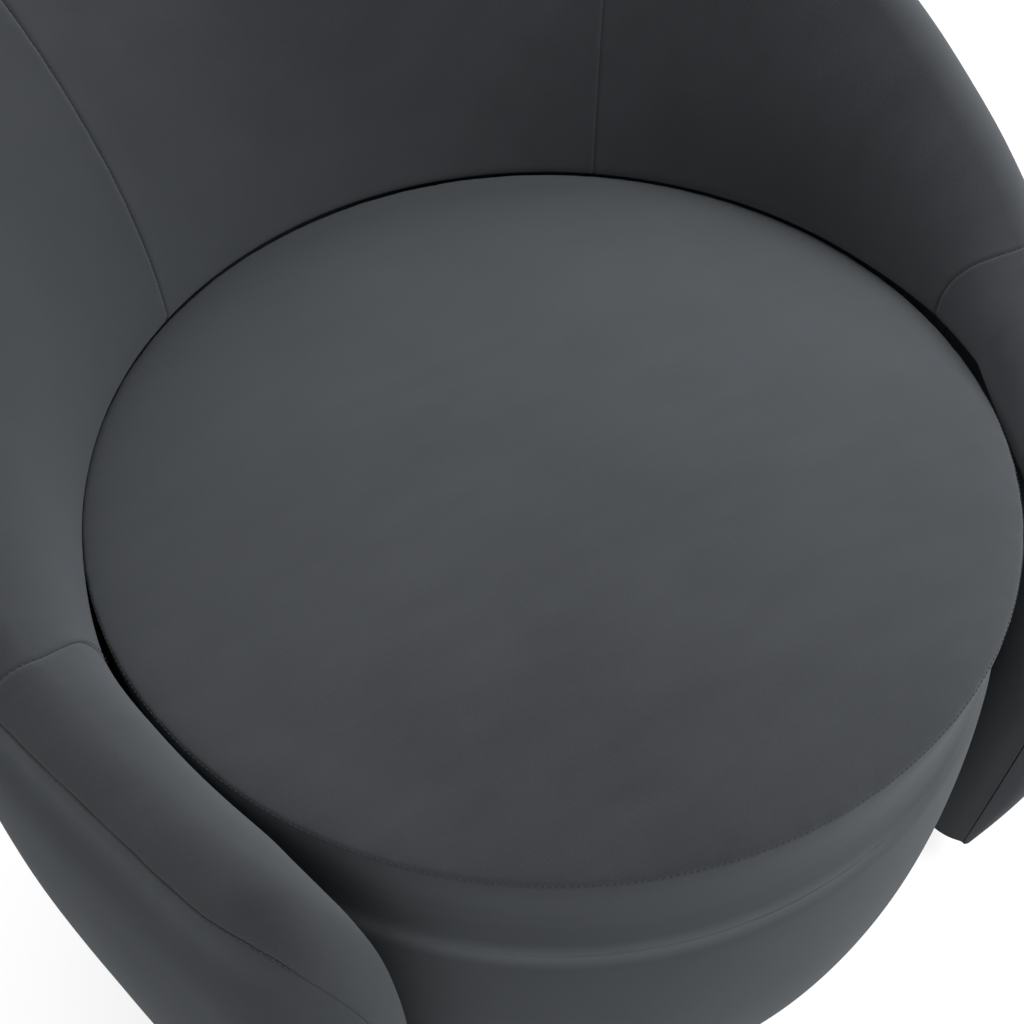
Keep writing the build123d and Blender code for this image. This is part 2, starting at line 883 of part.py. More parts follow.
def main():
    os.makedirs("parts", exist_ok=True)

    save("floor_glides", around(glide_count, glide_circle, floor_glide()))
    save("base_plinth", base_plinth())
    save("swivel_lower_plate", swivel_lower_plate())
    save("lower_plate_screws", around(lower_screw_count, lower_screw_circle, lower_screw()))
    save("ball_cage", ball_cage())
    save("bearing_balls", bearing_balls())
    save("swivel_upper_plate", swivel_upper_plate())
    save("swivel_hub", swivel_hub())
    save("hub_washer", hub_washer())
    save("hub_circlip", hub_circlip())
    save("plate_bolts", [Pos(place) * plate_bolt() for place in plate_bolt_places()])
    save("tee_nuts", [Pos(place) * tee_nut() for place in plate_bolt_places()])

    save("bottom_panel", bottom_panel())
    save("drum_posts", [drum_post(angle) for angle in post_angles])
    save("seat_ring", seat_ring())
    save("drum_wall", drum_wall())
    save("drum_foam", drum_foam())
    save("drum_cover", drum_cover())

    save("lengthwise_webbing", lengthwise_webbing())
    save("crosswise_webbing", crosswise_webbing())
    save("spring_felt", spring_felt())
    save("seat_foam", seat_foam())
    save("seat_wadding", seat_wadding())
    save("seat_top_cover", seat_top_cover())
    save("seat_boxing_cover", seat_boxing_cover())

    save("joining_blocks", [joining_block(a, h) for a in joint_angles for h in joint_heights])
    save("coach_screws", [coach_screw(a, h) for a in joint_angles for h in joint_heights])
    save("shell_bottom_rail", bottom_rail())
    left_space = lofted(frame_angles, frame_space_section)
    whole_space = lofted(back_angles, frame_space_section)
    save("back_rib", rib(whole_space, 180))
    save("back_foam", lofted(back_angles, inner_foam_section, tuck_height))
    save("back_cover", lofted(back_angles, inner_cover_section, tuck_height))
    save("dust_cover", dust_cover())

    halves = {
        "arm_post": [rib(left_space, arm_post_angle)],
        "shell_ribs": [rib(left_space, angle) for angle in rib_angles],
        "top_rail": [lofted(frame_angles, top_rail_section)],
        "inner_board": [inner_board()],
        "outer_board": [lofted(frame_angles, outer_board_section)],
        "side_foam": [lofted(side_angles, inner_foam_section, tuck_height)],
        "arm_foam": [lofted(arm_angles, inner_foam_section, frame_bottom)],
        "nose_foam": [lofted(nose_foam_angles, nose_section, pad_inset + nose_gap, frame_bottom)],
        "outer_foam": [lofted(frame_angles, outer_foam_section)],
        "side_cover": [lofted(side_angles, inner_cover_section, tuck_height)],
        "arm_cover": [arm_cover()],
        "outer_cover": [outer_cover()],
    }
    for name, pieces in halves.items():
        save(f"left_{name}", pieces)
        save(f"right_{name}", [mirrored(piece) for piece in pieces])


if __name__ == "__main__":
    main()
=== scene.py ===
"""Swivel barrel chair: velvet upholstery, seams and finishes laid over the packed frame."""

import json
import math
from functools import lru_cache

import bmesh
import bpy
from bpy.props import FloatProperty, FloatVectorProperty, IntProperty, PointerProperty
from mathutils import Matrix, Vector, noise
from mathutils.bvhtree import BVHTree


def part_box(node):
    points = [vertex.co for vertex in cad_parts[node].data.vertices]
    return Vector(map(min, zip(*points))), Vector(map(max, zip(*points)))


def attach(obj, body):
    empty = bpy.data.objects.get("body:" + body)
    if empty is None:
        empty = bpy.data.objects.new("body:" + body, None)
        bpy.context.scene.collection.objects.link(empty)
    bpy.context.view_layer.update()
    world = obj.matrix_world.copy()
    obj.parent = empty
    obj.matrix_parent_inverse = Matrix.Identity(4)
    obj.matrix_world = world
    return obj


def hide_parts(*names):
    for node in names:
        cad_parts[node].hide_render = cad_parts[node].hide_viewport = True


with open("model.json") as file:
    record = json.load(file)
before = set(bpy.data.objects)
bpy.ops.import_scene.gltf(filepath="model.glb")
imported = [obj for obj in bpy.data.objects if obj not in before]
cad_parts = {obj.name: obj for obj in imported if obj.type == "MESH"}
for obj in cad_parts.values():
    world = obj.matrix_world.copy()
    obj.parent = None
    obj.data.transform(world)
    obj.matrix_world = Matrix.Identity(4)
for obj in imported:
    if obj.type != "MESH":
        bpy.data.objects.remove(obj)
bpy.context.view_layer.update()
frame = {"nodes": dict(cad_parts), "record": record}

bl_info = {
    "name": "Swivel Barrel Chair",
    "version": (1, 0, 0),
    "blender": (4, 5, 0),
    "location": "View3D > Sidebar > Barrel Chair",
    "description": "Dresses the barrel chair's frame in velvet panels, seams and finishes",
    "category": "Object",
}

SIDES = {"left": 1, "right": -1}
FAN_TURN = math.pi / 2
FAN_STEP = 0.01
# The next three tables give degrees from the front, and metres there.
# Radius where the shell's inner edge comes nearest to the seat
LIP_RADII = (
    ((44.0, 0.327), (50.0, 0.322), (54.0, 0.317), (58.0, 0.311), (63.0, 0.3075), (70.0, 0.3055), (77.0, 0.3058))
    + ((84.0, 0.3055), (90.0, 0.3025), (97.0, 0.2990), (106.0, 0.2965), (120.0, 0.2945), (180.0, 0.2955))
)
# How far the arm's crest, and then its outer face, stands out from a true circle, so that the arm runs straight
CREST_SHIFTS = (
    ((42.0, 0.004), (50.0, 0.008), (55.0, 0.0065), (60.0, 0.003), (66.0, 0.0), (72.0, 0.001), (78.0, 0.006))
    + ((84.0, 0.0115), (91.0, 0.012), (100.0, 0.008), (110.0, 0.003), (120.0, 0.0), (180.0, 0.0))
)
BULGE_SHIFTS = (
    ((42.0, 0.009), (50.0, 0.007), (60.0, 0.002), (73.0, 0.0), (84.0, 0.006), (92.0, 0.007))
    + ((105.0, 0.003), (120.0, 0.0), (180.0, 0.0))
)
# Form of the shell: lengths in metres, spans in degrees, leans in radians
FLARE_START = 0.2
FLARE_POWER = 1.3
ROUND_LIMIT = 0.99999
SLIM_LEAD = 1
SLIM_SPAN = 8
SETTLE_SPAN = 20
HOLLOW_FADE = 40
UPRIGHT_SHARE = 0.6
SHORTEST_WALL = 0.004
WALL_BOTTOM = 0.33
HEM_RISE = 0.001
FULL_SAG_SPAN = 0.05
LEAN_ROUNDS = 6
INNER_LEAN_LIMIT = 1.1
OUTER_LEAN_LIMIT = 0.9
PROBE_SHARE = 0.01
PROBE_TURN = 0.4
# Cloth: scales of its unevenness, and how panels are divided, filled and held
EVEN_SHARE = 0.22
SEAM_POWER = 1.3
GATHER_SCALE = 95.0
WIDE_SCALE, WIDE_SHIFT = 5.5, Vector((3.1, 0.4, 7.7))
NEAR_SCALE, NEAR_SHIFT, NEAR_SHARE = 14.0, Vector((9.2, 5.1, 1.3)), 0.45
# Painted highlight along the crease: its base share, and the range and scale of its noise
HIGHLIGHT_LEVEL, HIGHLIGHT_RANGE, HIGHLIGHT_SCALE = 0.45, 0.6, 9.0
SOFT_START = 4
INNER_SHARE, CREST_SHARE = 0.7, 0.3
DRIFT_BACK, DRIFT_START, DRIFT_SPAN = 0.1, 0.1, 0.7
STITCH_SINK = 0.62
RING_TURNS, RING_INSET, RING_DROP, RING_LEAN = 480, 0.0003, 0.0005, 0.6
CREST_TURNS = 260
# Seat and drum
SEAT_COLUMNS = 600
CUSHION_COLUMNS = 160
CUSHION_BASE, CUSHION_DROP = (0.8, 0.5, 0.2, 0.0), 0.002
HELD_RISE, HELD_GAP = 0.006, 0.007
SMOOTH_ROUNDS = 6
SWELL_REACH = 0.03
SWELL_SHARE = 0.75
SEAM_EASE, CREASE_EASE = 0.045, 0.03
TUCK_IN, TUCK_DOWN = 0.004, 0.003
DRUM_COLUMNS = 260
CREASE_GAP = 0.0005
HEM_SHARES = (0.15, 0.4, 0.7, 1.0)
DRUM_GATHERS, DRUM_DRIFT = 0.5, 0.8
# Lining under the chair: radii of its hole and edge, and the angle where the edge steps out behind the arms' ends
LINING_BORE, LINING_FRONT, LINING_BACK = 0.212, 0.289, 0.365
LINING_STEP, LINING_STEP_SPAN = 49.5, 2.0
LINING_SAG = 0.0012
LINING_THICKNESS = 0.0004
STAPLES = 60
STAPLE_SIZE = (0.010, 0.0011, 0.0007, 1)
STAPLE_INSET, STAPLE_SINK, STAPLE_BEVEL = 0.008, 0.0009, 0.0002
# Materials and studio
NODE_STEP, NODE_LIMIT = 180, 14
WHITE = (1.0, 1.0, 1.0, 1)
FLOOR_REACH = 9.0
FLOOR_BOUNCE = (0.4, 0.4, 0.4, 1)
FLOOR_SHADE = (0.45, 0.45, 0.45, 1)
FLOOR_GLOW = 0.8
SENSOR_WIDTH = 36.0


def property_maker(kind, **fixed):
    return lambda name, description, default: kind(name=name, description=description, default=default, **fixed)


length = property_maker(FloatProperty, unit="LENGTH", precision=4)
degrees = plain = property_maker(FloatProperty)
share = property_maker(FloatProperty, precision=3)
watts = property_maker(FloatProperty, unit="POWER")
tint = property_maker(FloatVectorProperty, subtype="COLOR", size=3)
spot = property_maker(FloatVectorProperty, size=3)


class ShellSizes(bpy.types.PropertyGroup):
    """Form of the wrap-around shell, measured in its radial sections."""

    side_height: length("Side height", "Crest height half way back", 0.497)
    side_rise: length("Side rise", "Slope of the crest at the side", 0.205)
    back_height: length("Back height", "Crest height at the back", 0.700)
    arm_height: length("Arm height", "Crest height at the arm's front", 0.429)
    arm_angle: degrees("Arm angle", "Where the arm height is measured, in degrees from the front", 57.0)
    nose_angle: degrees("Nose angle", "Where the arm's end starts to round off", 50.0)
    end_angle: degrees("End angle", "Where the arm ends", 42.8)
    nose_blunt: share("Nose bluntness", "Power of the arm's end, rounder below 1", 0.8)
    nose_drop: length("Nose drop", "How far the crest rounds down at the arm's end", 0.180)
    nose_slim: share("Nose slimness", "Share by which the rolled edge slims towards the arm's end", 0.15)
    nose_radius: length("Nose radius", "Radius that the arm's end closes on", 0.360)
    arm_crest: length("Arm crest", "Radius of the crest over the arms", 0.337)
    back_crest: length("Back crest", "Radius of the crest at the back", 0.405)
    arm_roll: length("Arm roll", "Radius of the rolled edge on the arms", 0.023)
    back_roll: length("Back roll", "Radius of the rolled edge at the back", 0.030)
    inner_wall: length("Inner wall", "Radius of the shell's inner wall", 0.318)
    lip_height: length("Lip height", "Height where the back meets the seat", 0.4100)
    settle: length("Settle", "How much nearer the shell sits to the seat on the sitter's left", 0.0045)
    lip_depth: length("Lip depth", "How far the lip curves under", 0.017)
    inner_sag: length("Inner fullness", "Added fullness of the inner face", 0.002)
    side_bulge: length("Side bulge", "Radius of the outer face half way up, at the side", 0.391)
    back_bulge: length("Back bulge", "Radius of the outer face half way up, at the back", 0.417)
    hollow: length("Hollow", "Depth of the hollow under the arm's crest, on its outer side", 0.003)
    hollow_drop: length("Hollow drop", "How far below the seam the hollow lies", 0.034)
    hollow_width: length("Hollow width", "Half height of the hollow", 0.022)
    foot: length("Foot", "Radius of the outer face at its bottom edge", 0.372)
    hem: length("Hem", "Height of the bottom edge", 0.040)
    hem_turn: length("Hem turn", "Width of cloth folded under the bottom edge", 0.022)
    arm_seam: degrees("Arm seam", "Angle of the seam across each arm", 84.0)
    arm_seam_drift: degrees("Arm seam drift", "How far that seam runs forward at the crest", 3.3)
    back_seam: degrees("Back seam", "Angle of the seams that divide the back", 143.0)


class SeatSizes(bpy.types.PropertyGroup):
    """Form of the round seat and of the drum under it."""

    radius: length("Seat radius", "Radius of the seam round the seat", 0.300)
    seam_height: length("Seam height", "Height of that seam", 0.400)
    crown: length("Crown", "How far the seat domes above its seam", 0.025)
    crown_power: share("Crown power", "Fullness of the dome towards its edge", 2.3)
    crown_edge: share("Crown edge", "Roundness of the dome's edge", 0.72)
    boxing_bulge: length("Boxing bulge", "Radius of the boxing at its fullest", 0.3022)
    boxing_foot: length("Boxing foot", "Radius of the boxing at the crease", 0.3015)
    boxing_flare: length("Boxing flare", "How far the boxing swings out to the drum", 0.0040)
    crease: length("Crease", "Height of the crease over the drum", 0.318)
    drum_shoulder: length("Drum shoulder", "Radius of the drum's rounded upper edge", 0.3080)
    shoulder_round: length("Shoulder round", "Height over which that edge rounds off", 0.014)
    # painted highlight: how far from the crease it reaches
    crush_width: length("Crush width", "How far from the crease the pile is crushed", 0.0065)
    drum_bulge: length("Drum bulge", "Radius of the drum at its fullest", 0.316)
    drum_bulge_height: length("Drum bulge height", "Height of the drum's fullest part", 0.165)
    drum_foot: length("Drum foot", "Radius of the drum at its bottom edge", 0.296)
    drum_reach: degrees("Drum reach", "How far the drum cover runs round each side", 95.0)
    slack: length("Slack", "How much smaller the cushion starts before it swells", 0.004)
    swell: length("Swell", "Most that a point of the cushion moves as it swells", 0.009)
    pressure: plain("Pressure", "Pressure of the filling", 4.0)
    voxel: length("Voxel", "Size of the cushion's cells while it swells", 0.0055)
    frames: IntProperty(name="Frames", description="Frames that the cushion swells for", default=20)


class SeamSizes(bpy.types.PropertyGroup):
    """Seams and sewing."""

    depth: length("Seam depth", "How far cloth is drawn in at a seam", 0.0010)
    width: length("Seam width", "How far from the seam the cloth turns in", 0.0012)
    fullness: length("Fullness", "How far a panel swells between its seams", 0.0005)
    fullness_width: length("Fullness width", "Distance from a seam to full swelling", 0.045)
    pucker: length("Pucker", "Height of the gathers beside a seam", 0.0005)
    pucker_width: length("Pucker width", "How far from the seam the gathers run", 0.008)
    drift: length("Drift", "Height of the soft unevenness of a panel", 0.0012)
    thickness: length("Thickness", "Thickness of the cloth and its backing", 0.003)
    stitch_pitch: length("Stitch pitch", "Distance from stitch to stitch", 0.0036)
    stitch_length: length("Stitch length", "Length of a stitch", 0.0022)
    stitch_width: length("Stitch width", "Thickness of the thread", 0.0006)


class VelvetLook(bpy.types.PropertyGroup):
    """Colours and pile of the velvet, with its painted sheen and painted crease highlight."""

    dark: tint("Dark", "Colour where the pile leans away", (0.036, 0.0382, 0.0425))
    light: tint("Light", "Colour where the pile leans towards the light", (0.058, 0.0617, 0.0684))
    # painted sheen: the colour mixed in where the surface is seen at a slant
    grazing: tint("Grazing", "Colour of the pile's tips, seen at a slant", (0.150, 0.163, 0.175))
    # painted highlight: the light colour laid along the crease
    crushed: tint("Crushed", "Colour of pile crushed open in the crease", (0.200, 0.216, 0.231))
    thread: tint("Thread", "Colour of the sewing thread", (0.022, 0.023, 0.026))
    sheen: share("Sheen", "Weight of the pile's sheen", 0.1)
    sheen_spread: share("Sheen spread", "Roughness of the pile's sheen", 0.5)


class StageSetup(bpy.types.PropertyGroup):
    """Camera and studio."""

    yaw: degrees("Yaw", "Turn of the camera round the chair", 28.5)
    elevation: degrees("Elevation", "Angle of the camera above the horizon", 50.149)
    roll: degrees("Roll", "Tilt of the camera", -0.75)
    lens: plain("Lens", "Focal length in millimetres", 43.265)
    place: spot("Place", "Where the camera stands", (-0.2841, -0.4710, 0.9913))
    key_place: spot("Key place", "Where the key light hangs", (0.9, -0.9, 2.0))
    key_power: watts("Key", "Power of the key light", 21.5)
    back_place: spot("Back place", "Where the back light hangs", (0.2, 1.3, 2.1))
    back_power: watts("Back", "Power of the back light", 16.0)
    lamp_size: length("Lamp size", "Width of both lights", 1.2)
    lamp_aim: spot("Aim", "Where both lights point", (0.05, 0.0, 0.4))
    world: share("World", "Strength of the even light all round", 0.35)


GROUPS = {
    "barrel_shell": ShellSizes,
    "barrel_seat": SeatSizes,
    "barrel_seams": SeamSizes,
    "barrel_velvet": VelvetLook,
    "barrel_stage": StageSetup,
}


def settings(name):
    return getattr(bpy.context.scene, name)


# Small helpers


def clamp(value, low=0.0, high=1.0):
    return min(max(value, low), high)


def ease(value):
    value = clamp(value)
    return value * value * (3 - 2 * value)


def polar(radius, angle, height):
    turn = math.radians(angle)
    return Vector((radius * math.sin(turn), -radius * math.cos(turn), height))


def through(first, middle, last, t):
    """A point on the curve through three points, at t from 0 to 1."""
    parts = zip(first, middle, last)
    return [a * (2 * t * t - 3 * t + 1) + b * (4 * t - 4 * t * t) + c * (2 * t * t - t) for a, b, c in parts]


def crowded(count, start=True, end=True):
    """Shares from 0 to 1, closer together at the chosen ends."""
    curves = {
        (True, True): lambda t: (1 - math.cos(math.pi * t)) / 2,
        (True, False): lambda t: 1 - math.cos(math.pi * t / 2),
        (False, True): lambda t: math.sin(math.pi * t / 2),
        (False, False): lambda t: t,
    }
    steps = [step / (count - 1) for step in range(count)]
    return [EVEN_SHARE * t + (1 - EVEN_SHARE) * curves[start, end](t) for t in steps]


def smooth_table(table, place):
    """The value at a place in a table of places and values, without corners."""
    for number, ((first, low), (last, high)) in enumerate(zip(table, table[1:])):
        if place <= last:
            break
    t = clamp((place - first) / (last - first))
    before, after = table[max(number - 1, 0)], table[min(number + 2, len(table) - 1)]
    lean_in = (high - before[1]) / (last - before[0]) * (last - first)
    lean_out = (after[1] - low) / (after[0] - first) * (last - first)
    rise = high - low
    return low + lean_in * t + (3 * rise - 2 * lean_in - lean_out) * t**2 + (lean_in + lean_out - 2 * rise) * t**3


class ShellForm:
    """The shell's shape at any angle from the front, towards the sitter's left."""

    def __init__(self, sizes):
        self.sizes = sizes

    def fold(self, angle):
        turn = abs(angle) % 360
        return min(turn, 360 - turn)

    def depth(self, angle):
        return -math.cos(math.radians(self.fold(angle)))

    def flare(self, angle):
        return max((self.depth(angle) + FLARE_START) / (1 + FLARE_START), 0.0) ** FLARE_POWER

    def rounding(self, angle, start):
        turned = clamp((start - self.fold(angle)) / (start - self.sizes.end_angle), 0.0, ROUND_LIMIT)
        return math.sqrt(1 - turned * turned)

    def taper(self, angle):
        return self.rounding(angle, self.sizes.nose_angle) ** self.sizes.nose_blunt

    def narrowed(self, radius, angle):
        return self.sizes.nose_radius + (radius - self.sizes.nose_radius) * self.taper(angle)

    def crest_height(self, angle):
        s = self.sizes
        depth = self.depth(angle)
        arm_depth = self.depth(s.arm_angle)
        back_rise = s.back_height - s.side_height - s.side_rise
        arm_rise = (s.arm_height - s.side_height - s.side_rise * arm_depth) / arm_depth**2
        cubic = (arm_rise - back_rise) / (arm_depth - 1)
        line = s.side_height + s.side_rise * depth + (back_rise - cubic) * depth**2 + cubic * depth**3
        return line - s.nose_drop * (1 - self.rounding(angle, s.arm_angle))

    def crest_radius(self, angle):
        s = self.sizes
        shift = smooth_table(CREST_SHIFTS, self.fold(angle))
        return self.narrowed(s.arm_crest + (s.back_crest - s.arm_crest) * self.flare(angle) + shift, angle)

    def roll(self, angle):
        s = self.sizes
        slimmed = 1 - s.nose_slim * ease((s.arm_angle + SLIM_LEAD - self.fold(angle)) / SLIM_SPAN)
        return (s.arm_roll + (s.back_roll - s.arm_roll) * self.flare(angle)) * slimmed * self.taper(angle)

    def lip(self, angle):
        s = self.sizes
        settled = s.settle * math.exp(-(((angle % 360 - s.arm_seam) / SETTLE_SPAN) ** 2))
        radius = self.narrowed(smooth_table(LIP_RADII, self.fold(angle)) - settled, angle)
        height = min(s.lip_height, self.crest_height(angle) - self.roll(angle) - s.lip_depth)
        return radius, height

    def wall(self, angle, bottom, t):
        """Inner wall, from its bottom edge up to the lip."""
        s = self.sizes
        radius, height = self.lip(angle)
        inner = self.narrowed(s.inner_wall, angle)
        shelf = height - s.lip_depth
        foot = min(bottom, shelf - SHORTEST_WALL)
        if t < UPRIGHT_SHARE:
            return inner, foot + (shelf - foot) * t / UPRIGHT_SHARE
        rise = (t - UPRIGHT_SHARE) / (1 - UPRIGHT_SHARE)
        return inner + (radius - inner) * math.sin(rise * math.pi / 2), shelf + s.lip_depth * rise

    def on_roll(self, angle, turn):
        """A point of the rolled edge, turned from its outermost place over the top."""
        roll = self.roll(angle)
        radius = self.crest_radius(angle) + roll * math.cos(turn)
        return radius, self.crest_height(angle) - roll + roll * math.sin(turn)

    @lru_cache(maxsize=None)
    def inner_curve(self, angle):
        """Lip, middle and top of the inner face, and how far its top leans back, so that it runs on into the roll."""
        lip = self.lip(angle)
        lean = 0.0
        for _ in range(LEAN_ROUNDS):
            top = self.on_roll(angle, math.pi - lean)
            run, rise = top[0] - lip[0], max(top[1] - lip[1], 1e-4)
            span = math.hypot(run, rise)
            sag = run / 4 + self.sizes.inner_sag * clamp(span / FULL_SAG_SPAN)
            middle = ((lip[0] + top[0]) / 2 - sag * rise / span, (lip[1] + top[1]) / 2 + sag * run / span)
            slope = [a - 4 * b + 3 * c for a, b, c in zip(lip, middle, top)]
            lean = clamp(math.atan2(slope[0], slope[1]), 0.0, INNER_LEAN_LIMIT)
        return lip, middle, top, lean

    @lru_cache(maxsize=None)
    def outer_curve(self, angle):
        """Seam, bulge and foot of the outer face, and how far its top leans out."""
        s = self.sizes
        shift = smooth_table(BULGE_SHIFTS, self.fold(angle))
        bulge = self.narrowed(s.side_bulge + (s.back_bulge - s.side_bulge) * self.flare(angle) + shift, angle)
        foot = (self.narrowed(s.foot, angle), s.hem)
        lean = 0.0
        for _ in range(LEAN_ROUNDS):
            seam = self.on_roll(angle, lean)
            middle = (bulge, (seam[1] + s.hem) / 2)
            slope = [4 * b - 3 * a - c for a, b, c in zip(seam, middle, foot)]
            lean = clamp(math.atan2(slope[0], -slope[1]), 0.0, OUTER_LEAN_LIMIT)
        return seam, middle, foot, lean

    def inner(self, angle, t):
        """Inner face, from the lip up to the start of the crest."""
        return through(*self.inner_curve(angle)[:3], t)

    def crest(self, angle, t):
        start = math.pi - self.inner_curve(angle)[3]
        return self.on_roll(angle, start + (self.outer_curve(angle)[3] - start) * t)

    def outer(self, angle, t):
        """Outer face, from the seam under the crest down to the bottom edge."""
        s = self.sizes
        seam, middle, foot, _ = self.outer_curve(angle)
        radius, height = through(seam, middle, foot, t)
        dip = math.exp(-(((seam[1] - height - s.hollow_drop) / s.hollow_width) ** 2))
        front = 1 - ease((self.fold(angle) - s.arm_seam) / HOLLOW_FADE)
        return radius - s.hollow * dip * front * self.taper(angle), height

    def under(self, angle, t):
        """Cloth folded under the bottom edge."""
        s = self.sizes
        return self.narrowed(s.foot, angle) - s.hem_turn * self.taper(angle) * t, s.hem + HEM_RISE * t

    def point(self, angle, stretch, t, bottom=WALL_BOTTOM):
        if stretch == "wall":
            radius, height = self.wall(angle, bottom, t)
        else:
            radius, height = getattr(self, stretch)(angle, t)
        return polar(radius, angle, height)

    def normal(self, angle, stretch, t):
        step = PROBE_SHARE if t < 1 - 2 * PROBE_SHARE else -PROBE_SHARE
        along = (self.point(angle, stretch, t + step) - self.point(angle, stretch, t)) * (1 if step > 0 else -1)
        across = self.point(angle + PROBE_TURN, stretch, t) - self.point(angle - PROBE_TURN, stretch, t)
        return across.cross(along).normalized()


# Grids and pieces


def spun_grid(rows, columns, closed=False):
    """A flat fan made by one spin, and the row and column of each of its vertices."""
    bm = bmesh.new()
    line = [bm.verts.new((1 + FAN_STEP * row, 0, 0)) for row in range(rows)]
    edges = [bm.edges.new(pair) for pair in zip(line, line[1:])]
    turn = 2 * math.pi if closed else FAN_TURN
    steps = columns if closed else columns - 1
    bmesh.ops.spin(
        bm, geom=line + edges, cent=(0, 0, 0), axis=(0, 0, 1), angle=turn, steps=steps, use_merge=closed
    )
    places = {}
    for vert in bm.verts:
        row = round((math.hypot(vert.co.x, vert.co.y) - 1) / FAN_STEP)
        column = round(math.atan2(vert.co.y, vert.co.x) % (2 * math.pi) * steps / turn)
        places[vert] = (row, column % columns if closed else min(column, columns - 1))
    return bm, places


def laid_grid(rows, columns, place, outward, closed=False):
    """A grid with its vertices where place puts each row and column, facing outward, and those rows and columns."""
    bm, places = spun_grid(rows, columns, closed)
    middle = (rows // 2, 0 if closed else columns // 2)
    for vert, at in places.items():
        vert.co = place(*at)
        if at == middle:
            sample = vert
    bm.normal_update()
    if sample.normal.dot(Vector(outward)) < 0:
        bmesh.ops.reverse_faces(bm, faces=bm.faces)
    bm.normal_update()
    return bm, places


def turned(profile, columns):
    """Places of a profile of radii and heights, turned once round the axis."""
    return lambda row, column: polar(profile[row][0], column * 360 / columns, profile[row][1])


def pushed(places, offset):
    """Moves each vertex along its normal, by what offset gives for it, its row and its column."""
    for vert, (row, column) in places.items():
        vert.co = vert.co + vert.normal * offset(vert, row, column)


def mesh_of(name, bm):
    mesh = bpy.data.meshes.new(name)
    bm.to_mesh(mesh)
    bm.free()
    return mesh


def linked(name, data):
    item = bpy.data.objects.new(name, data)
    bpy.context.scene.collection.objects.link(item)
    return item


def finished(name, bm, body, material, thickness=0.0, crush=None):
    """Turns a bmesh into a piece that rides on a body. The last argument gives the share of painted highlight at a
    place.
    """
    for face in bm.faces:
        face.smooth = True
    for edge in bm.edges:
        edge.smooth = not edge.is_boundary
    mesh = mesh_of(name, bm)
    piece = linked(name, mesh)
    mesh.materials.append(material)
    # painted highlight share, stored on each vertex
    if crush:
        shares = mesh.attributes.new("crush", "FLOAT", "POINT")
        shares.data.foreach_set("value", [crush(vert.co) for vert in mesh.vertices])
    if thickness:
        wall = piece.modifiers.new("Cloth thickness", "SOLIDIFY")
        wall.thickness = thickness
        wall.offset = -1
        wall.use_even_offset = False
    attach(piece, body)
    return piece


def drawn_in(distance, seams):
    """Offset of the cloth at a distance from a seam, down into it."""
    return -seams.depth * math.exp(-((distance / seams.width) ** SEAM_POWER))


def swelling(distances, seams):
    grown = 1.0
    for distance in distances:
        grown *= 1 - math.exp(-((distance / seams.fullness_width) ** 2))
    return seams.fullness * grown


def creased_pile(place):
    """Share of painted highlight along the crease between boxing and drum, made patchy by noise."""
    s = settings("barrel_seat")
    near = math.exp(-(((place.z - s.crease) / s.crush_width) ** 2))
    return near * clamp(HIGHLIGHT_LEVEL + HIGHLIGHT_RANGE * noise.noise(place * HIGHLIGHT_SCALE))


def gathers(place, distance, seams):
    return seams.pucker * math.exp(-distance / seams.pucker_width) * noise.noise(place * GATHER_SCALE)


def unevenness(place, seams):
    wide = noise.noise(place * WIDE_SCALE + WIDE_SHIFT)
    near = noise.noise(place * NEAR_SCALE + NEAR_SHIFT)
    return seams.drift * (wide + NEAR_SHARE * near)


def run_lengths(points):
    total = [0.0]
    for first, second in zip(points, points[1:]):
        total.append(total[-1] + (second - first).length)
    return total


# Materials


def feed(tree, node, inputs):
    """Sets a node's inputs, by name or number, to values or to links from other sockets."""
    for label, value in inputs.items():
        if isinstance(value, bpy.types.NodeSocket):
            tree.links.new(value, node.inputs[label])
        else:
            node.inputs[label].default_value = value


def add_node(tree, kind, inputs=None, **values):
    """A node in a row with the others of its tree, with its settings and inputs."""
    node = tree.nodes.new(kind)
    node.location = (NODE_STEP * (len(tree.nodes) - NODE_LIMIT), 0)
    for name, value in values.items():
        setattr(node, name, value)
    feed(tree, node, inputs or {})
    return node


def node_group(name, inputs, outputs):
    """A shader group with a Vector input, its other inputs with their defaults, and its outputs."""
    group = bpy.data.node_groups.new(name, "ShaderNodeTree")
    group.interface.new_socket("Vector", in_out="INPUT", socket_type="NodeSocketVector")
    for label, default in inputs.items():
        group.interface.new_socket(label, in_out="INPUT", socket_type="NodeSocketFloat").default_value = default
    for label in outputs:
        group.interface.new_socket(label, in_out="OUTPUT", socket_type="NodeSocketFloat")
    start = add_node(group, "NodeGroupInput")
    end = add_node(group, "NodeGroupOutput")
    return group, start.outputs, end


def noise_node(tree, vector, scale, detail, roughness=0.5):
    inputs = {"Vector": vector, "Scale": scale, "Detail": detail, "Roughness": roughness}
    return add_node(tree, "ShaderNodeTexNoise", inputs).outputs["Fac"]


def mapped(tree, vector, **inputs):
    return add_node(tree, "ShaderNodeMapping", {"Vector": vector, **inputs}).outputs["Vector"]


def math_node(tree, operation, *values):
    return add_node(tree, "ShaderNodeMath", dict(enumerate(values)), operation=operation).outputs["Value"]


def range_node(tree, value, low, high, new_low, new_high):
    inputs = {"Value": value, "From Min": low, "From Max": high, "To Min": new_low, "To Max": new_high}
    return add_node(tree, "ShaderNodeMapRange", inputs).outputs["Result"]


def mix_node(tree, factor, *colours):
    """A mix of two colours, each of them a colour or a socket."""
    mix = add_node(tree, "ShaderNodeMix", {"Factor": factor}, data_type="RGBA")
    numbers = [number for number, socket in enumerate(mix.inputs) if socket.type == "RGBA"]
    for number, colour in zip(numbers, colours):
        feed(tree, mix, {number: colour if isinstance(colour, bpy.types.NodeSocket) else (*colour, 1.0)})
    return next(socket for socket in mix.outputs if socket.type == "RGBA")


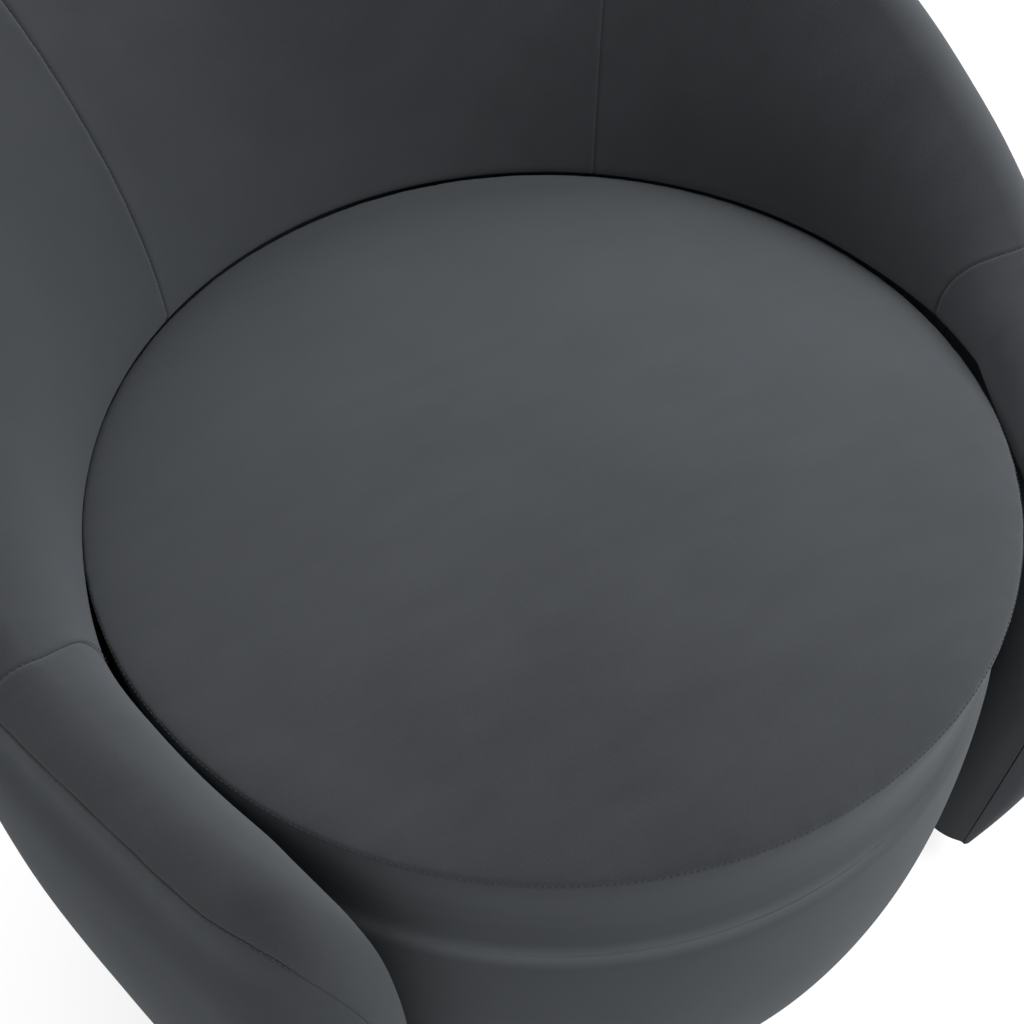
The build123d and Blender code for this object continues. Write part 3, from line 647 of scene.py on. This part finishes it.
def velvet_pile():
    """Velvet pile: Nap is how far the pile leans towards the light, Pile its fine height."""
    group, given, end = node_group("velvet_pile", {"Cloud": 7.0, "Grain": 420.0}, ("Nap", "Pile"))
    vector = given["Vector"]
    cloud = noise_node(group, vector, given["Cloud"], 3.0, 0.55)
    stroke = mapped(group, vector, Rotation=(0.3, 0.5, 0.6), Scale=(1.0, 3.2, 1.6))
    streak = noise_node(group, stroke, 16.0, 2.0)
    grain = noise_node(group, vector, given["Grain"], 1.0)
    leaning = 0.0
    for source, weight in ((cloud, 0.62), (streak, 0.26), (grain, 0.38)):
        leaning = math_node(group, "MULTIPLY_ADD", source, weight, leaning)
    feed(group, end, {"Nap": range_node(group, leaning, 0.36, 0.88, 0.0, 1.0), "Pile": grain})
    return group


def wood_grain():
    """Wood grain: Figure is the pattern of the growth lines, Pores their fine height."""
    group, given, end = node_group("wood_grain", {"Lines": 28.0, "Wander": 2.0}, ("Figure", "Pores"))
    along = mapped(group, given["Vector"], Scale=(0.25, 1.0, 1.0))
    inputs = {"Vector": along, "Scale": given["Lines"], "Distortion": given["Wander"], "Detail": 2.0}
    wave = add_node(group, "ShaderNodeTexWave", inputs, bands_direction="Y")
    feed(group, end, {"Figure": wave.outputs["Fac"], "Pores": noise_node(group, along, 320.0, 2.0)})
    return group


def handling_marks():
    """Handling marks for metal, paint and plastic: Marks are broad rubs, Scratches fine lines."""
    group, given, end = node_group("handling_marks", {"Broad": 22.0, "Fine": 260.0}, ("Marks", "Scratches"))
    broad = noise_node(group, given["Vector"], given["Broad"], 4.0, 0.6)
    drag = mapped(group, given["Vector"], Scale=(1.0, 0.06, 1.0))
    fine = noise_node(group, drag, given["Fine"], 2.0, 0.6)
    feed(group, end, {"Marks": range_node(group, broad, 0.35, 0.7, 0.0, 1.0), "Scratches": fine})
    return group


def patterned(name, pattern, scales, tones, rough, bump, shine=None, over=None):
    """A material in two tones of a shared pattern, whose second output is its fine height. rough is one
    roughness or one for each tone, and over may lay more colours on the tones."""
    material = bpy.data.materials.new(name)
    material.use_nodes = True
    tree = material.node_tree
    place = add_node(tree, "ShaderNodeTexCoord").outputs["Object"]
    group = bpy.data.node_groups.get(pattern.__name__) or pattern()
    node = add_node(tree, "ShaderNodeGroup", node_tree=group)
    feed(tree, node, {"Vector": place, **scales})
    tone, fine = node.outputs
    colour = mix_node(tree, tone, *tones)
    if isinstance(rough, tuple):
        rough = range_node(tree, tone, 0, 1, *rough)
    relief = add_node(tree, "ShaderNodeBump", {"Height": fine, **bump})
    inputs = {"Base Color": over(tree, colour) if over else colour, "Roughness": rough}
    inputs["Normal"] = relief.outputs["Normal"]
    feed(tree, tree.nodes["Principled BSDF"], {**inputs, **(shine or {})})
    return material


def velvet_tips(tree, nap):
    """Lays on a painted sheen, a lighter colour where the surface is seen at a slant, and a painted highlight along
    the crease between boxing and drum.
    """
    look = settings("barrel_velvet")
    # painted sheen: Layer Weight facing lightens the colour towards a slant view
    slant = add_node(tree, "ShaderNodeLayerWeight", {"Blend": 0.5}).outputs["Facing"]
    # painted highlight along the crease, read from the mesh
    crease = add_node(tree, "ShaderNodeAttribute", attribute_name="crush").outputs["Fac"]
    return mix_node(tree, crease, mix_node(tree, slant, nap, look.grazing), look.crushed)


def velvet_material():
    look = settings("barrel_velvet")
    shine = {"Specular IOR Level": 0.15, "Sheen Weight": look.sheen, "Sheen Roughness": look.sheen_spread}
    shine["Sheen Tint"] = (0.56, 0.61, 0.665, 1.0)
    return bpy.data.materials.get("charcoal_velvet") or patterned(
        "charcoal_velvet",
        velvet_pile,
        {"Cloud": 7.0, "Grain": 1300.0},
        (look.dark, look.light),
        (0.95, 0.8),
        {"Strength": 0.35, "Distance": 0.0003},
        shine,
        velvet_tips,
    )


def thread_material():
    dark = settings("barrel_velvet").thread
    tones = (dark, [1.9 * part for part in dark])
    return bpy.data.materials.get("sewing_thread") or patterned(
        "sewing_thread", velvet_pile, {"Cloud": 40.0, "Grain": 1500.0}, tones, 0.6, {"Distance": 0.0002}
    )


def fibre_material(name, first, second, cloud, grain, roughness):
    """Foam, wadding, webbing and lining cloth."""
    scales = {"Cloud": cloud, "Grain": grain}
    return patterned(name, velvet_pile, scales, (first, second), roughness, {"Distance": 0.0006})


def wood_material(name, first, second, lines, wander, roughness):
    scales = {"Lines": lines, "Wander": wander}
    return patterned(name, wood_grain, scales, (first, second), roughness, {"Distance": 0.0003})


def hard_material(name, first, second, metal, smooth, dull):
    """Metal, paint and moulded plastic, with handling marks."""
    scales, bump = {"Broad": 22.0, "Fine": 260.0}, {"Strength": 0.25, "Distance": 0.00015}
    return patterned(name, handling_marks, scales, (first, second), (smooth, dull), bump, {"Metallic": metal})


def slot_materials():
    return {
        "velvet": velvet_material(),
        "foam": fibre_material("cut_foam", (0.52, 0.47, 0.28), (0.66, 0.6, 0.38), 18.0, 300.0, 0.9),
        "wadding": fibre_material("polyester_wadding", (0.68, 0.68, 0.65), (0.8, 0.8, 0.78), 12.0, 240.0, 0.95),
        "webbing": fibre_material("elastic_webbing", (0.03, 0.024, 0.018), (0.08, 0.06, 0.04), 60.0, 700.0, 0.8),
        "dust_cloth": lining_material(),
        "plywood": wood_material("raw_plywood", (0.36, 0.22, 0.1), (0.5, 0.33, 0.17), 24.0, 2.5, 0.7),
        "softwood": wood_material("planed_softwood", (0.42, 0.27, 0.12), (0.6, 0.42, 0.22), 34.0, 1.6, 0.65),
        "fibreboard": wood_material("hard_fibreboard", (0.1, 0.055, 0.025), (0.15, 0.085, 0.04), 90.0, 6.0, 0.6),
        "black_paint": hard_material("black_paint", (0.012, 0.012, 0.013), (0.022, 0.022, 0.023), 0.0, 0.42, 0.6),
        "glide_plastic": hard_material("glide_nylon", (0.014, 0.014, 0.014), (0.03, 0.03, 0.03), 0.0, 0.35, 0.55),
        "cage_plastic": hard_material("cage_nylon", (0.66, 0.65, 0.6), (0.72, 0.71, 0.66), 0.0, 0.4, 0.55),
        "zinc_steel": hard_material("zinc_plate", (0.46, 0.47, 0.49), (0.56, 0.57, 0.58), 1.0, 0.3, 0.5),
        "fastener_steel": hard_material("zinc_fastener", (0.38, 0.38, 0.39), (0.5, 0.5, 0.5), 1.0, 0.32, 0.5),
        "bearing_steel": hard_material("bearing_steel", (0.62, 0.63, 0.65), (0.7, 0.7, 0.72), 1.0, 0.08, 0.2),
    }


def lining_material():
    known = bpy.data.materials.get("black_lining")
    return known or fibre_material("black_lining", (0.012, 0.012, 0.013), (0.026, 0.026, 0.028), 30.0, 900.0, 0.85)


# Upholstery


def panel_rows(stretches):
    """Row list for a panel: each stretch's name and share, with the joins between stretches kept once."""
    rows = []
    for name, shares in stretches:
        rows += [(name, t) for t in shares if not (rows and t == 0.0)]
    return rows


def shell_panel(name, edges, stretches, columns, sewn, outward, bottom=WALL_BOTTOM):
    """One cloth panel of the shell. edges gives its two side angles for a row's share up the panel.
    sewn names the borders with a seam: start and end sides, top and bottom rows. nose is a start without one."""
    form = ShellForm(settings("barrel_shell"))
    seams = settings("barrel_seams")
    rows = panel_rows(stretches)
    steps = crowded(columns, bool(sewn & {"start", "nose"}), "end" in sewn)

    def place(row, column):
        first, last = edges(climb(*rows[row]))
        return form.point(first + (last - first) * steps[column], *rows[row], bottom)

    bm, places = laid_grid(len(rows), columns, place, outward)
    bases = {at: vert.co.copy() for vert, at in places.items()}
    profiles = [run_lengths([bases[row, column] for row in range(len(rows))]) for column in range(columns)]

    def offset(vert, row, column):
        here = vert.co
        stretch, t = rows[row]
        borders = {
            "start": (here - bases[row, 0]).length,
            "end": (here - bases[row, columns - 1]).length,
            "top": profiles[column][-1] - profiles[column][row],
            "bottom": profiles[column][row],
        }
        distances = [distance for border, distance in borders.items() if border in sewn]
        soft = {"wall": 0.0, "under": 0.0, "inner": ease(t * SOFT_START)}.get(stretch, 1.0)
        tip = form.taper(math.degrees(math.atan2(here.x, -here.y)))
        sunk = sum(drawn_in(distance, seams) + gathers(here, distance, seams) for distance in distances)
        return sunk + soft * (swelling(distances, seams) + unevenness(here, seams)) * tip

    pushed(places, offset)
    bmesh.ops.remove_doubles(bm, verts=bm.verts, dist=1e-6)
    bmesh.ops.dissolve_degenerate(bm, edges=bm.edges, dist=1e-7)
    return finished(name, bm, "chair", velvet_material(), seams.thickness)


def climb(stretch, t):
    """How far up an inner panel a row lies, from 0 at the lip to 1 at the seam under the crest."""
    return {"wall": 0.0, "inner": INNER_SHARE * t, "crest": INNER_SHARE + CREST_SHARE * t}.get(stretch, 1.0)


def arm_seam_angle(up):
    s = settings("barrel_shell")
    return s.arm_seam + s.arm_seam_drift * (DRIFT_BACK - ease((up - DRIFT_START) / DRIFT_SPAN))


INNER_STRETCHES = (
    ("wall", crowded(10, False, False)),
    ("inner", crowded(72, False, False)),
    ("crest", crowded(34, False, True)),
)
OUTER_STRETCHES = (
    ("outer", crowded(110, True, False)),
    ("under", crowded(6, False, False)),
)


class BARREL_OT_back_panels(bpy.types.Operator):
    """Sew the inner back: its middle panel and the two side panels"""

    bl_idname = "barrel.back_panels"
    bl_label = "Back Panels"

    def execute(self, context):
        seam = context.scene.barrel_shell.back_seam
        sewn = {"start", "end", "top"}
        middle = shell_panel(
            "back_panel",
            lambda up: (seam, 360 - seam),
            INNER_STRETCHES,
            columns=130,
            sewn=sewn,
            outward=(0, -1, 0.3),
        )
        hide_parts("back_cover", "back_foam")
        for side, sign in SIDES.items():
            panel = shell_panel(
                f"{side}_side_panel",
                lambda up: (sign * arm_seam_angle(up), sign * seam),
                INNER_STRETCHES,
                columns=116,
                sewn=sewn,
                outward=(-sign, -0.3, 0.3),
            )
            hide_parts(f"{side}_side_cover", f"{side}_side_foam")
        return {"FINISHED"}


class BARREL_OT_arm_panels(bpy.types.Operator):
    """Sew the two arm panels, which round off at the front"""

    bl_idname = "barrel.arm_panels"
    bl_label = "Arm Panels"

    def execute(self, context):
        s = context.scene.barrel_shell
        for side, sign in SIDES.items():
            panel = shell_panel(
                f"{side}_arm_panel",
                lambda up: (sign * s.end_angle, sign * arm_seam_angle(up)),
                (("wall", crowded(60, False, False)),) + INNER_STRETCHES[1:],
                columns=110,
                sewn={"nose", "end", "top"},
                outward=(-sign, 0, 0.3),
                bottom=s.hem + 2 * HEM_RISE,
            )
            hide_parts(f"{side}_arm_cover", f"{side}_arm_foam", f"{side}_nose_foam")
        return {"FINISHED"}


class BARREL_OT_outer_panels(bpy.types.Operator):
    """Sew the two outer panels, which meet at the middle of the back"""

    bl_idname = "barrel.outer_panels"
    bl_label = "Outer Panels"

    def execute(self, context):
        s = context.scene.barrel_shell
        for side, sign in SIDES.items():
            panel = shell_panel(
                f"{side}_outer_panel",
                lambda up: (sign * s.end_angle, sign * 180.0),
                OUTER_STRETCHES,
                columns=250,
                sewn={"nose", "end", "bottom"},
                outward=(sign, 0.3, 0),
            )
            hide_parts(f"{side}_outer_cover", f"{side}_outer_foam")
        return {"FINISHED"}


def seat_top_height(radius, slack=0.0):
    s = settings("barrel_seat")
    share_in = max(1 - (radius / s.radius) ** s.crown_power, 0.0)
    return s.seam_height + (s.crown - slack) * share_in**s.crown_edge


def boxing_profile(t):
    s = settings("barrel_seat")
    ends = ((s.radius, s.seam_height), (s.boxing_bulge, (s.seam_height + s.crease) / 2), (s.boxing_foot, s.crease))
    radius, height = through(*ends, t)
    return radius + s.boxing_flare * max(1 - (height - s.crease) / s.shoulder_round, 0) ** 2, height


def swollen_cushion():
    """The whole cushion as one closed form, swollen by cloth simulation, as a search tree."""
    s = settings("barrel_seat")
    top = [(s.radius * t, seat_top_height(s.radius * t, s.slack)) for t in crowded(26, False, True)]
    side = [boxing_profile(t) for t in crowded(14, False, False)][1:]
    low = [(s.boxing_foot * t, s.crease - CUSHION_DROP) for t in CUSHION_BASE]
    profile = top + [(radius - s.slack, height) for radius, height in side] + low
    bm, places = spun_grid(len(profile), CUSHION_COLUMNS, closed=True)
    place = turned(profile, CUSHION_COLUMNS)
    for vert, at in places.items():
        vert.co = place(*at)
    bmesh.ops.remove_doubles(bm, verts=bm.verts, dist=1e-5)
    bmesh.ops.recalc_face_normals(bm, faces=bm.faces)
    cushion = linked("cushion_swelling", mesh_of("cushion_swelling", bm))
    scene = bpy.context.scene
    bpy.context.view_layer.objects.active = cushion
    remesh = cushion.modifiers.new("Cells", "REMESH")
    remesh.mode = "VOXEL"
    remesh.voxel_size = s.voxel
    bpy.ops.object.modifier_apply(modifier=remesh.name)
    rest = [vert.co.copy() for vert in cushion.data.vertices]
    held = cushion.vertex_groups.new(name="held")
    for vert in cushion.data.vertices:
        radius = math.hypot(vert.co.x, vert.co.y)
        seam_gap = math.hypot(radius - s.radius, vert.co.z - s.seam_height)
        if vert.co.z < s.crease + HELD_RISE or seam_gap < HELD_GAP:
            held.add([vert.index], 1.0, "REPLACE")
    cloth = cushion.modifiers.new("Swell", "CLOTH")
    cloth.settings.vertex_group_mass = held.name
    cloth.settings.use_pressure = True
    cloth.settings.uniform_pressure_force = s.pressure
    cloth.settings.effector_weights.gravity = 0.0
    cloth.settings.quality = 5
    cloth.point_cache.frame_start = 1
    cloth.point_cache.frame_end = s.frames
    for number in range(1, s.frames + 1):
        scene.frame_set(number)
    bpy.ops.object.modifier_apply(modifier=cloth.name)
    scene.frame_set(1)
    bm = bmesh.new()
    bm.from_mesh(cushion.data)
    for vert, start in zip(bm.verts, rest):
        moved = vert.co - start
        if moved.length > s.swell:
            vert.co = start + moved.normalized() * s.swell
    for _ in range(SMOOTH_ROUNDS):
        bmesh.ops.smooth_vert(bm, verts=bm.verts, factor=0.5, use_axis_x=True, use_axis_y=True, use_axis_z=True)
    bmesh.ops.subdivide_edges(bm, edges=bm.edges, cuts=1, use_grid_fill=True, smooth=0.6)
    tree = BVHTree.FromBMesh(bm)
    bm.free()
    bpy.data.objects.remove(cushion)
    return tree


def seat_panel(name, profile, seam_row, outward, swollen):
    """A ring-shaped panel of the seat, laid on the swollen cushion and drawn in at its seam."""
    s = settings("barrel_seat")
    seams = settings("barrel_seams")
    seam = Vector(profile[seam_row])
    bm, places = laid_grid(len(profile), SEAT_COLUMNS, turned(profile, SEAT_COLUMNS), outward, closed=True)

    def offset(vert, row, column):
        place, normal = vert.co, vert.normal
        distance = math.hypot(profile[row][0] - seam.x, profile[row][1] - seam.y)
        swell = 0.0
        if swollen is not None:
            hit = swollen.ray_cast(place + normal * SWELL_REACH, -normal, 2 * SWELL_REACH)
            if hit[0] is not None:
                swell = (hit[0] - place).dot(normal)
        near = ease(distance / SEAM_EASE) * ease((place.z - s.crease) / CREASE_EASE)
        sunk = drawn_in(distance, seams) + gathers(place, distance, seams)
        return sunk + near * (SWELL_SHARE * swell + unevenness(place, seams))

    pushed(places, offset)
    bmesh.ops.remove_doubles(bm, verts=bm.verts, dist=1e-6)
    # lays the painted highlight along the crease on this panel
    piece = finished(name, bm, "chair", velvet_material(), seams.thickness, creased_pile)
    return piece


class BARREL_OT_seat(bpy.types.Operator):
    """Make the seat's crowned top and its boxing"""

    bl_idname = "barrel.seat"
    bl_label = "Seat"

    def execute(self, context):
        s = context.scene.barrel_seat
        swollen = swollen_cushion()
        top = [(s.radius * t, seat_top_height(s.radius * t)) for t in crowded(84, False, True)]
        crown = seat_panel("seat_top", top, len(top) - 1, (0, 0, 1), swollen)
        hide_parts("seat_top_cover", "seat_wadding", "seat_foam", "spring_felt")
        side = [boxing_profile(t) for t in crowded(40, True, True)]
        side.append((s.boxing_foot + s.boxing_flare - TUCK_IN, s.crease - TUCK_DOWN))
        boxing = seat_panel("seat_boxing", side, 0, (0, -1, 1), swollen)
        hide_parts("seat_boxing_cover")
        return {"FINISHED"}


class BARREL_OT_drum(bpy.types.Operator):
    """Stretch the cover over the front of the drum"""

    bl_idname = "barrel.drum"
    bl_label = "Drum"

    def execute(self, context):
        s = context.scene.barrel_seat
        shell = context.scene.barrel_shell
        seams = context.scene.barrel_seams
        crease = (s.drum_shoulder, s.crease + CREASE_GAP)
        foot = (s.drum_foot, shell.hem)
        profile = [through(crease, (s.drum_bulge, s.drum_bulge_height), foot, t) for t in crowded(90, True, False)]
        tucked = s.drum_shoulder - s.boxing_foot - s.boxing_flare
        for number, (radius, height) in enumerate(profile):
            profile[number] = (radius - tucked * max(1 - (crease[1] - height) / s.shoulder_round, 0) ** 2, height)
        hem_row = len(profile)
        profile += [(s.drum_foot - shell.hem_turn * t, shell.hem + HEM_RISE * t) for t in HEM_SHARES]

        def place(row, column):
            return polar(profile[row][0], s.drum_reach * (2 * column / (DRUM_COLUMNS - 1) - 1), profile[row][1])

        def offset(vert, row, column):
            drift = 0.0 if row >= hem_row else DRUM_DRIFT * unevenness(vert.co, seams)
            return DRUM_GATHERS * gathers(vert.co, s.crease - vert.co.z, seams) + drift

        bm, places = laid_grid(len(profile), DRUM_COLUMNS, place, (0, -1, 0))
        pushed(places, offset)
        # lays the painted highlight along the crease on the drum
        piece = finished("drum_skirt", bm, "chair", velvet_material(), seams.thickness, creased_pile)
        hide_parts("drum_cover", "drum_foam")
        return {"FINISHED"}


def stitch_run(bm, points, normals, seams):
    """Stitches laid end to end along a line."""
    totals = run_lengths(points)
    count = int(totals[-1] / seams.stitch_pitch)
    segment = 0
    for number in range(count):
        at = (number + 0.5) * totals[-1] / count
        while segment < len(points) - 2 and totals[segment + 1] < at:
            segment += 1
        first, second = points[segment], points[segment + 1]
        t = (at - totals[segment]) / max(totals[segment + 1] - totals[segment], 1e-9)
        along = (second - first).normalized()
        up = normals[segment]
        across = up.cross(along).normalized()
        up = along.cross(across)
        turn = Matrix((along, across, up)).transposed().to_4x4()
        size = Matrix.Diagonal((seams.stitch_length / 2, seams.stitch_width / 2, seams.stitch_width / 2, 1))
        place = Matrix.Translation(first.lerp(second, t))
        bmesh.ops.create_uvsphere(bm, u_segments=6, v_segments=4, radius=1.0, matrix=place @ turn @ size)


def seam_line(form, angles, rows):
    """Points along a seam of the shell, with the normals there, sunk part of the way into it."""
    seams = settings("barrel_seams")
    points, normals = [], []
    for angle, (stretch, t) in zip(angles, rows):
        normal = form.normal(angle, stretch, t)
        points.append(form.point(angle, stretch, t) - normal * seams.depth * STITCH_SINK)
        normals.append(normal)
    return points, normals


class BARREL_OT_stitching(bpy.types.Operator):
    """Sew the stitches into the seams"""

    bl_idname = "barrel.stitching"
    bl_label = "Stitching"

    def execute(self, context):
        s = context.scene.barrel_shell
        seat = context.scene.barrel_seat
        seams = context.scene.barrel_seams
        form = ShellForm(s)
        bm = bmesh.new()
        turns = [step * 360 / RING_TURNS for step in range(RING_TURNS + 1)]
        ring = [polar(seat.radius - RING_INSET, turn, seat.seam_height - RING_DROP) for turn in turns]
        stitch_run(bm, ring, [polar(1, turn, RING_LEAN).normalized() for turn in turns], seams)
        finished("seat_stitches", bm, "chair", thread_material())
        rows = panel_rows(INNER_STRETCHES[1:])
        for side, sign in SIDES.items():
            bm = bmesh.new()
            arm = [sign * arm_seam_angle(climb(*row)) for row in rows]
            stitch_run(bm, *seam_line(form, arm, rows), seams)
            stitch_run(bm, *seam_line(form, [sign * s.back_seam] * len(rows), rows), seams)
            steps = range(CREST_TURNS + 1)
            crest = [sign * (s.nose_angle + (180 - s.nose_angle) * step / CREST_TURNS) for step in steps]
            stitch_run(bm, *seam_line(form, crest, [("outer", 0.0)] * len(crest)), seams)
            finished(f"{side}_shell_stitches", bm, "chair", thread_material())
        return {"FINISHED"}


class BARREL_OT_underside(bpy.types.Operator):
    """Stretch the lining under the chair and staple it"""

    bl_idname = "barrel.underside"
    bl_label = "Underside Lining"

    def execute(self, context):
        low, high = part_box("dust_cover")
        level = (low.z + high.z) / 2
        rows, columns = 26, 360

        def rim(angle):
            turn = min(angle % 360, 360 - angle % 360)
            return LINING_FRONT + (LINING_BACK - LINING_FRONT) * ease((turn - LINING_STEP) / LINING_STEP_SPAN)

        def place(row, column):
            angle = column * 360 / columns
            return polar(LINING_BORE + (rim(angle) - LINING_BORE) * row / (rows - 1), angle, level)

        bm, places = laid_grid(rows, columns, place, (0, 0, -1), closed=True)
        area = sum(face.calc_area() for face in bm.faces)
        for vert, (row, column) in places.items():
            loose = math.sin(math.pi * row / (rows - 1))
            vert.co.z -= LINING_SAG * loose * (0.6 + 0.4 * noise.noise(vert.co * 25.0))
        sheet = finished("dust_sheet", bm, "chair", lining_material(), LINING_THICKNESS)
        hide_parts("dust_cover")
        bm = bmesh.new()
        for number in range(STAPLES):
            angle = (number + 0.5) * 360 / STAPLES
            stand = Matrix.Translation(polar(rim(angle) - STAPLE_INSET, angle, level - STAPLE_SINK))
            turn = Matrix.Rotation(math.radians(angle), 4, "Z")
            bmesh.ops.create_cube(bm, size=1.0, matrix=stand @ turn @ Matrix.Diagonal(STAPLE_SIZE))
        bmesh.ops.bevel(
            bm, geom=bm.edges[:], offset=STAPLE_BEVEL, segments=1, profile=0.5, affect="EDGES", material=-1
        )
        finished("lining_staples", bm, "chair", bpy.data.materials["zinc_fastener"])
        return {"FINISHED"}


class BARREL_OT_frame_finish(bpy.types.Operator):
    """Give every carried-over node of the frame its finish"""

    bl_idname = "barrel.frame_finish"
    bl_label = "Frame Finish"

    def execute(self, context):
        finishes = slot_materials()
        for row in frame["record"]["subparts"]:
            node = frame["nodes"][row["node"]]
            node.data.materials.clear()
            node.data.materials.append(finishes[row["material_slot"]])
        return {"FINISHED"}


def studio_white(tree, output, lit, white):
    """Ends a tree with plain white for what the camera, or a reflection, sees directly."""
    path = add_node(tree, "ShaderNodeLightPath").outputs
    seen = math_node(tree, "MAXIMUM", path["Is Camera Ray"], path["Is Glossy Ray"])
    seen = math_node(tree, "MAXIMUM", seen, path["Is Transmission Ray"])
    mix = add_node(tree, "ShaderNodeMixShader", {"Fac": seen, 1: lit, 2: white})
    add_node(tree, output, {"Surface": mix.outputs["Shader"]})


class BARREL_OT_stage(bpy.types.Operator):
    """Set up the floor, the light and the camera"""

    bl_idname = "barrel.stage"
    bl_label = "Stage"

    def execute(self, context):
        scene = context.scene
        setup = scene.barrel_stage
        scene.view_settings.view_transform = "Standard"
        self.lay_floor()
        self.light_world(scene, setup)
        self.hang_lamp(setup, "key_light", setup.key_place, setup.key_power)
        self.hang_lamp(setup, "back_light", setup.back_place, setup.back_power)
        self.stand_camera(scene, setup)
        return {"FINISHED"}

    def lay_floor(self):
        bm = bmesh.new()
        bmesh.ops.create_grid(bm, x_segments=2, y_segments=2, size=FLOOR_REACH)
        floor = linked("studio_floor", mesh_of("studio_floor", bm))
        material = bpy.data.materials.new("studio_floor")
        material.use_nodes = True
        tree = material.node_tree
        tree.nodes.clear()
        plain = add_node(tree, "ShaderNodeBsdfDiffuse", {"Color": FLOOR_BOUNCE}).outputs["BSDF"]
        shade = add_node(tree, "ShaderNodeBsdfDiffuse", {"Color": FLOOR_SHADE}).outputs["BSDF"]
        glow = add_node(tree, "ShaderNodeEmission", {"Strength": FLOOR_GLOW}).outputs["Emission"]
        both = add_node(tree, "ShaderNodeAddShader", {0: shade, 1: glow}).outputs["Shader"]
        studio_white(tree, "ShaderNodeOutputMaterial", plain, both)
        floor.data.materials.append(material)

    def light_world(self, scene, setup):
        world = bpy.data.worlds.new("studio_world")
        scene.world = world
        world.use_nodes = True
        tree = world.node_tree
        tree.nodes.clear()
        lit = add_node(tree, "ShaderNodeBackground", {"Color": WHITE, "Strength": setup.world})
        white = add_node(tree, "ShaderNodeBackground", {"Color": WHITE})
        studio_white(tree, "ShaderNodeOutputWorld", lit.outputs["Background"], white.outputs["Background"])

    def hang_lamp(self, setup, name, place, power):
        lamp = bpy.data.lights.new(name, "AREA")
        lamp.shape = "DISK"
        lamp.size = setup.lamp_size
        lamp.energy = power
        holder = linked(name, lamp)
        holder.location = place
        holder.rotation_euler = (Vector(setup.lamp_aim) - Vector(place)).to_track_quat("-Z", "Y").to_euler()

    def stand_camera(self, scene, setup):
        rise, yaw, tilt = (math.radians(value) for value in (setup.elevation, setup.yaw, setup.roll))
        forward = Vector((math.cos(rise) * math.sin(yaw), math.cos(rise) * math.cos(yaw), -math.sin(rise)))
        level = Vector((math.cos(yaw), -math.sin(yaw), 0))
        above = level.cross(forward)
        right = level * math.cos(tilt) + above * math.sin(tilt)
        up = above * math.cos(tilt) - level * math.sin(tilt)
        data = bpy.data.cameras.new("photo_camera")
        data.lens = setup.lens
        data.sensor_width = SENSOR_WIDTH
        camera = linked("photo_camera", data)
        turn = Matrix((right, up, -forward)).transposed().to_4x4()
        camera.matrix_world = Matrix.Translation(Vector(setup.place)) @ turn
        scene.camera = camera


OPERATORS = (
    BARREL_OT_frame_finish,
    BARREL_OT_seat,
    BARREL_OT_drum,
    BARREL_OT_back_panels,
    BARREL_OT_arm_panels,
    BARREL_OT_outer_panels,
    BARREL_OT_stitching,
    BARREL_OT_underside,
    BARREL_OT_stage,
)


class BARREL_PT_panel(bpy.types.Panel):
    """Sizes, colours and building steps of the barrel chair"""

    bl_idname = "BARREL_PT_panel"
    bl_label = "Barrel Chair"
    bl_space_type = "VIEW_3D"
    bl_region_type = "UI"
    bl_category = "Barrel Chair"

    def draw(self, context):
        for name, group in GROUPS.items():
            box = self.layout.box()
            box.label(text=group.__doc__)
            for label in group.__annotations__:
                box.prop(getattr(context.scene, name), label)
        for operator in OPERATORS:
            self.layout.operator(operator.bl_idname)


def register():
    for name, group in GROUPS.items():
        bpy.utils.register_class(group)
        setattr(bpy.types.Scene, name, PointerProperty(type=group))
    for kind in OPERATORS + (BARREL_PT_panel,):
        bpy.utils.register_class(kind)


def unregister():
    for kind in (BARREL_PT_panel,) + OPERATORS[::-1]:
        bpy.utils.unregister_class(kind)
    for name, group in reversed(GROUPS.items()):
        delattr(bpy.types.Scene, name)
        bpy.utils.unregister_class(group)


def main():
    register()
    for operator in OPERATORS:
        family, step = operator.bl_idname.split(".")
        getattr(getattr(bpy.ops, family), step)()


if __name__ == "__main__":
    main()
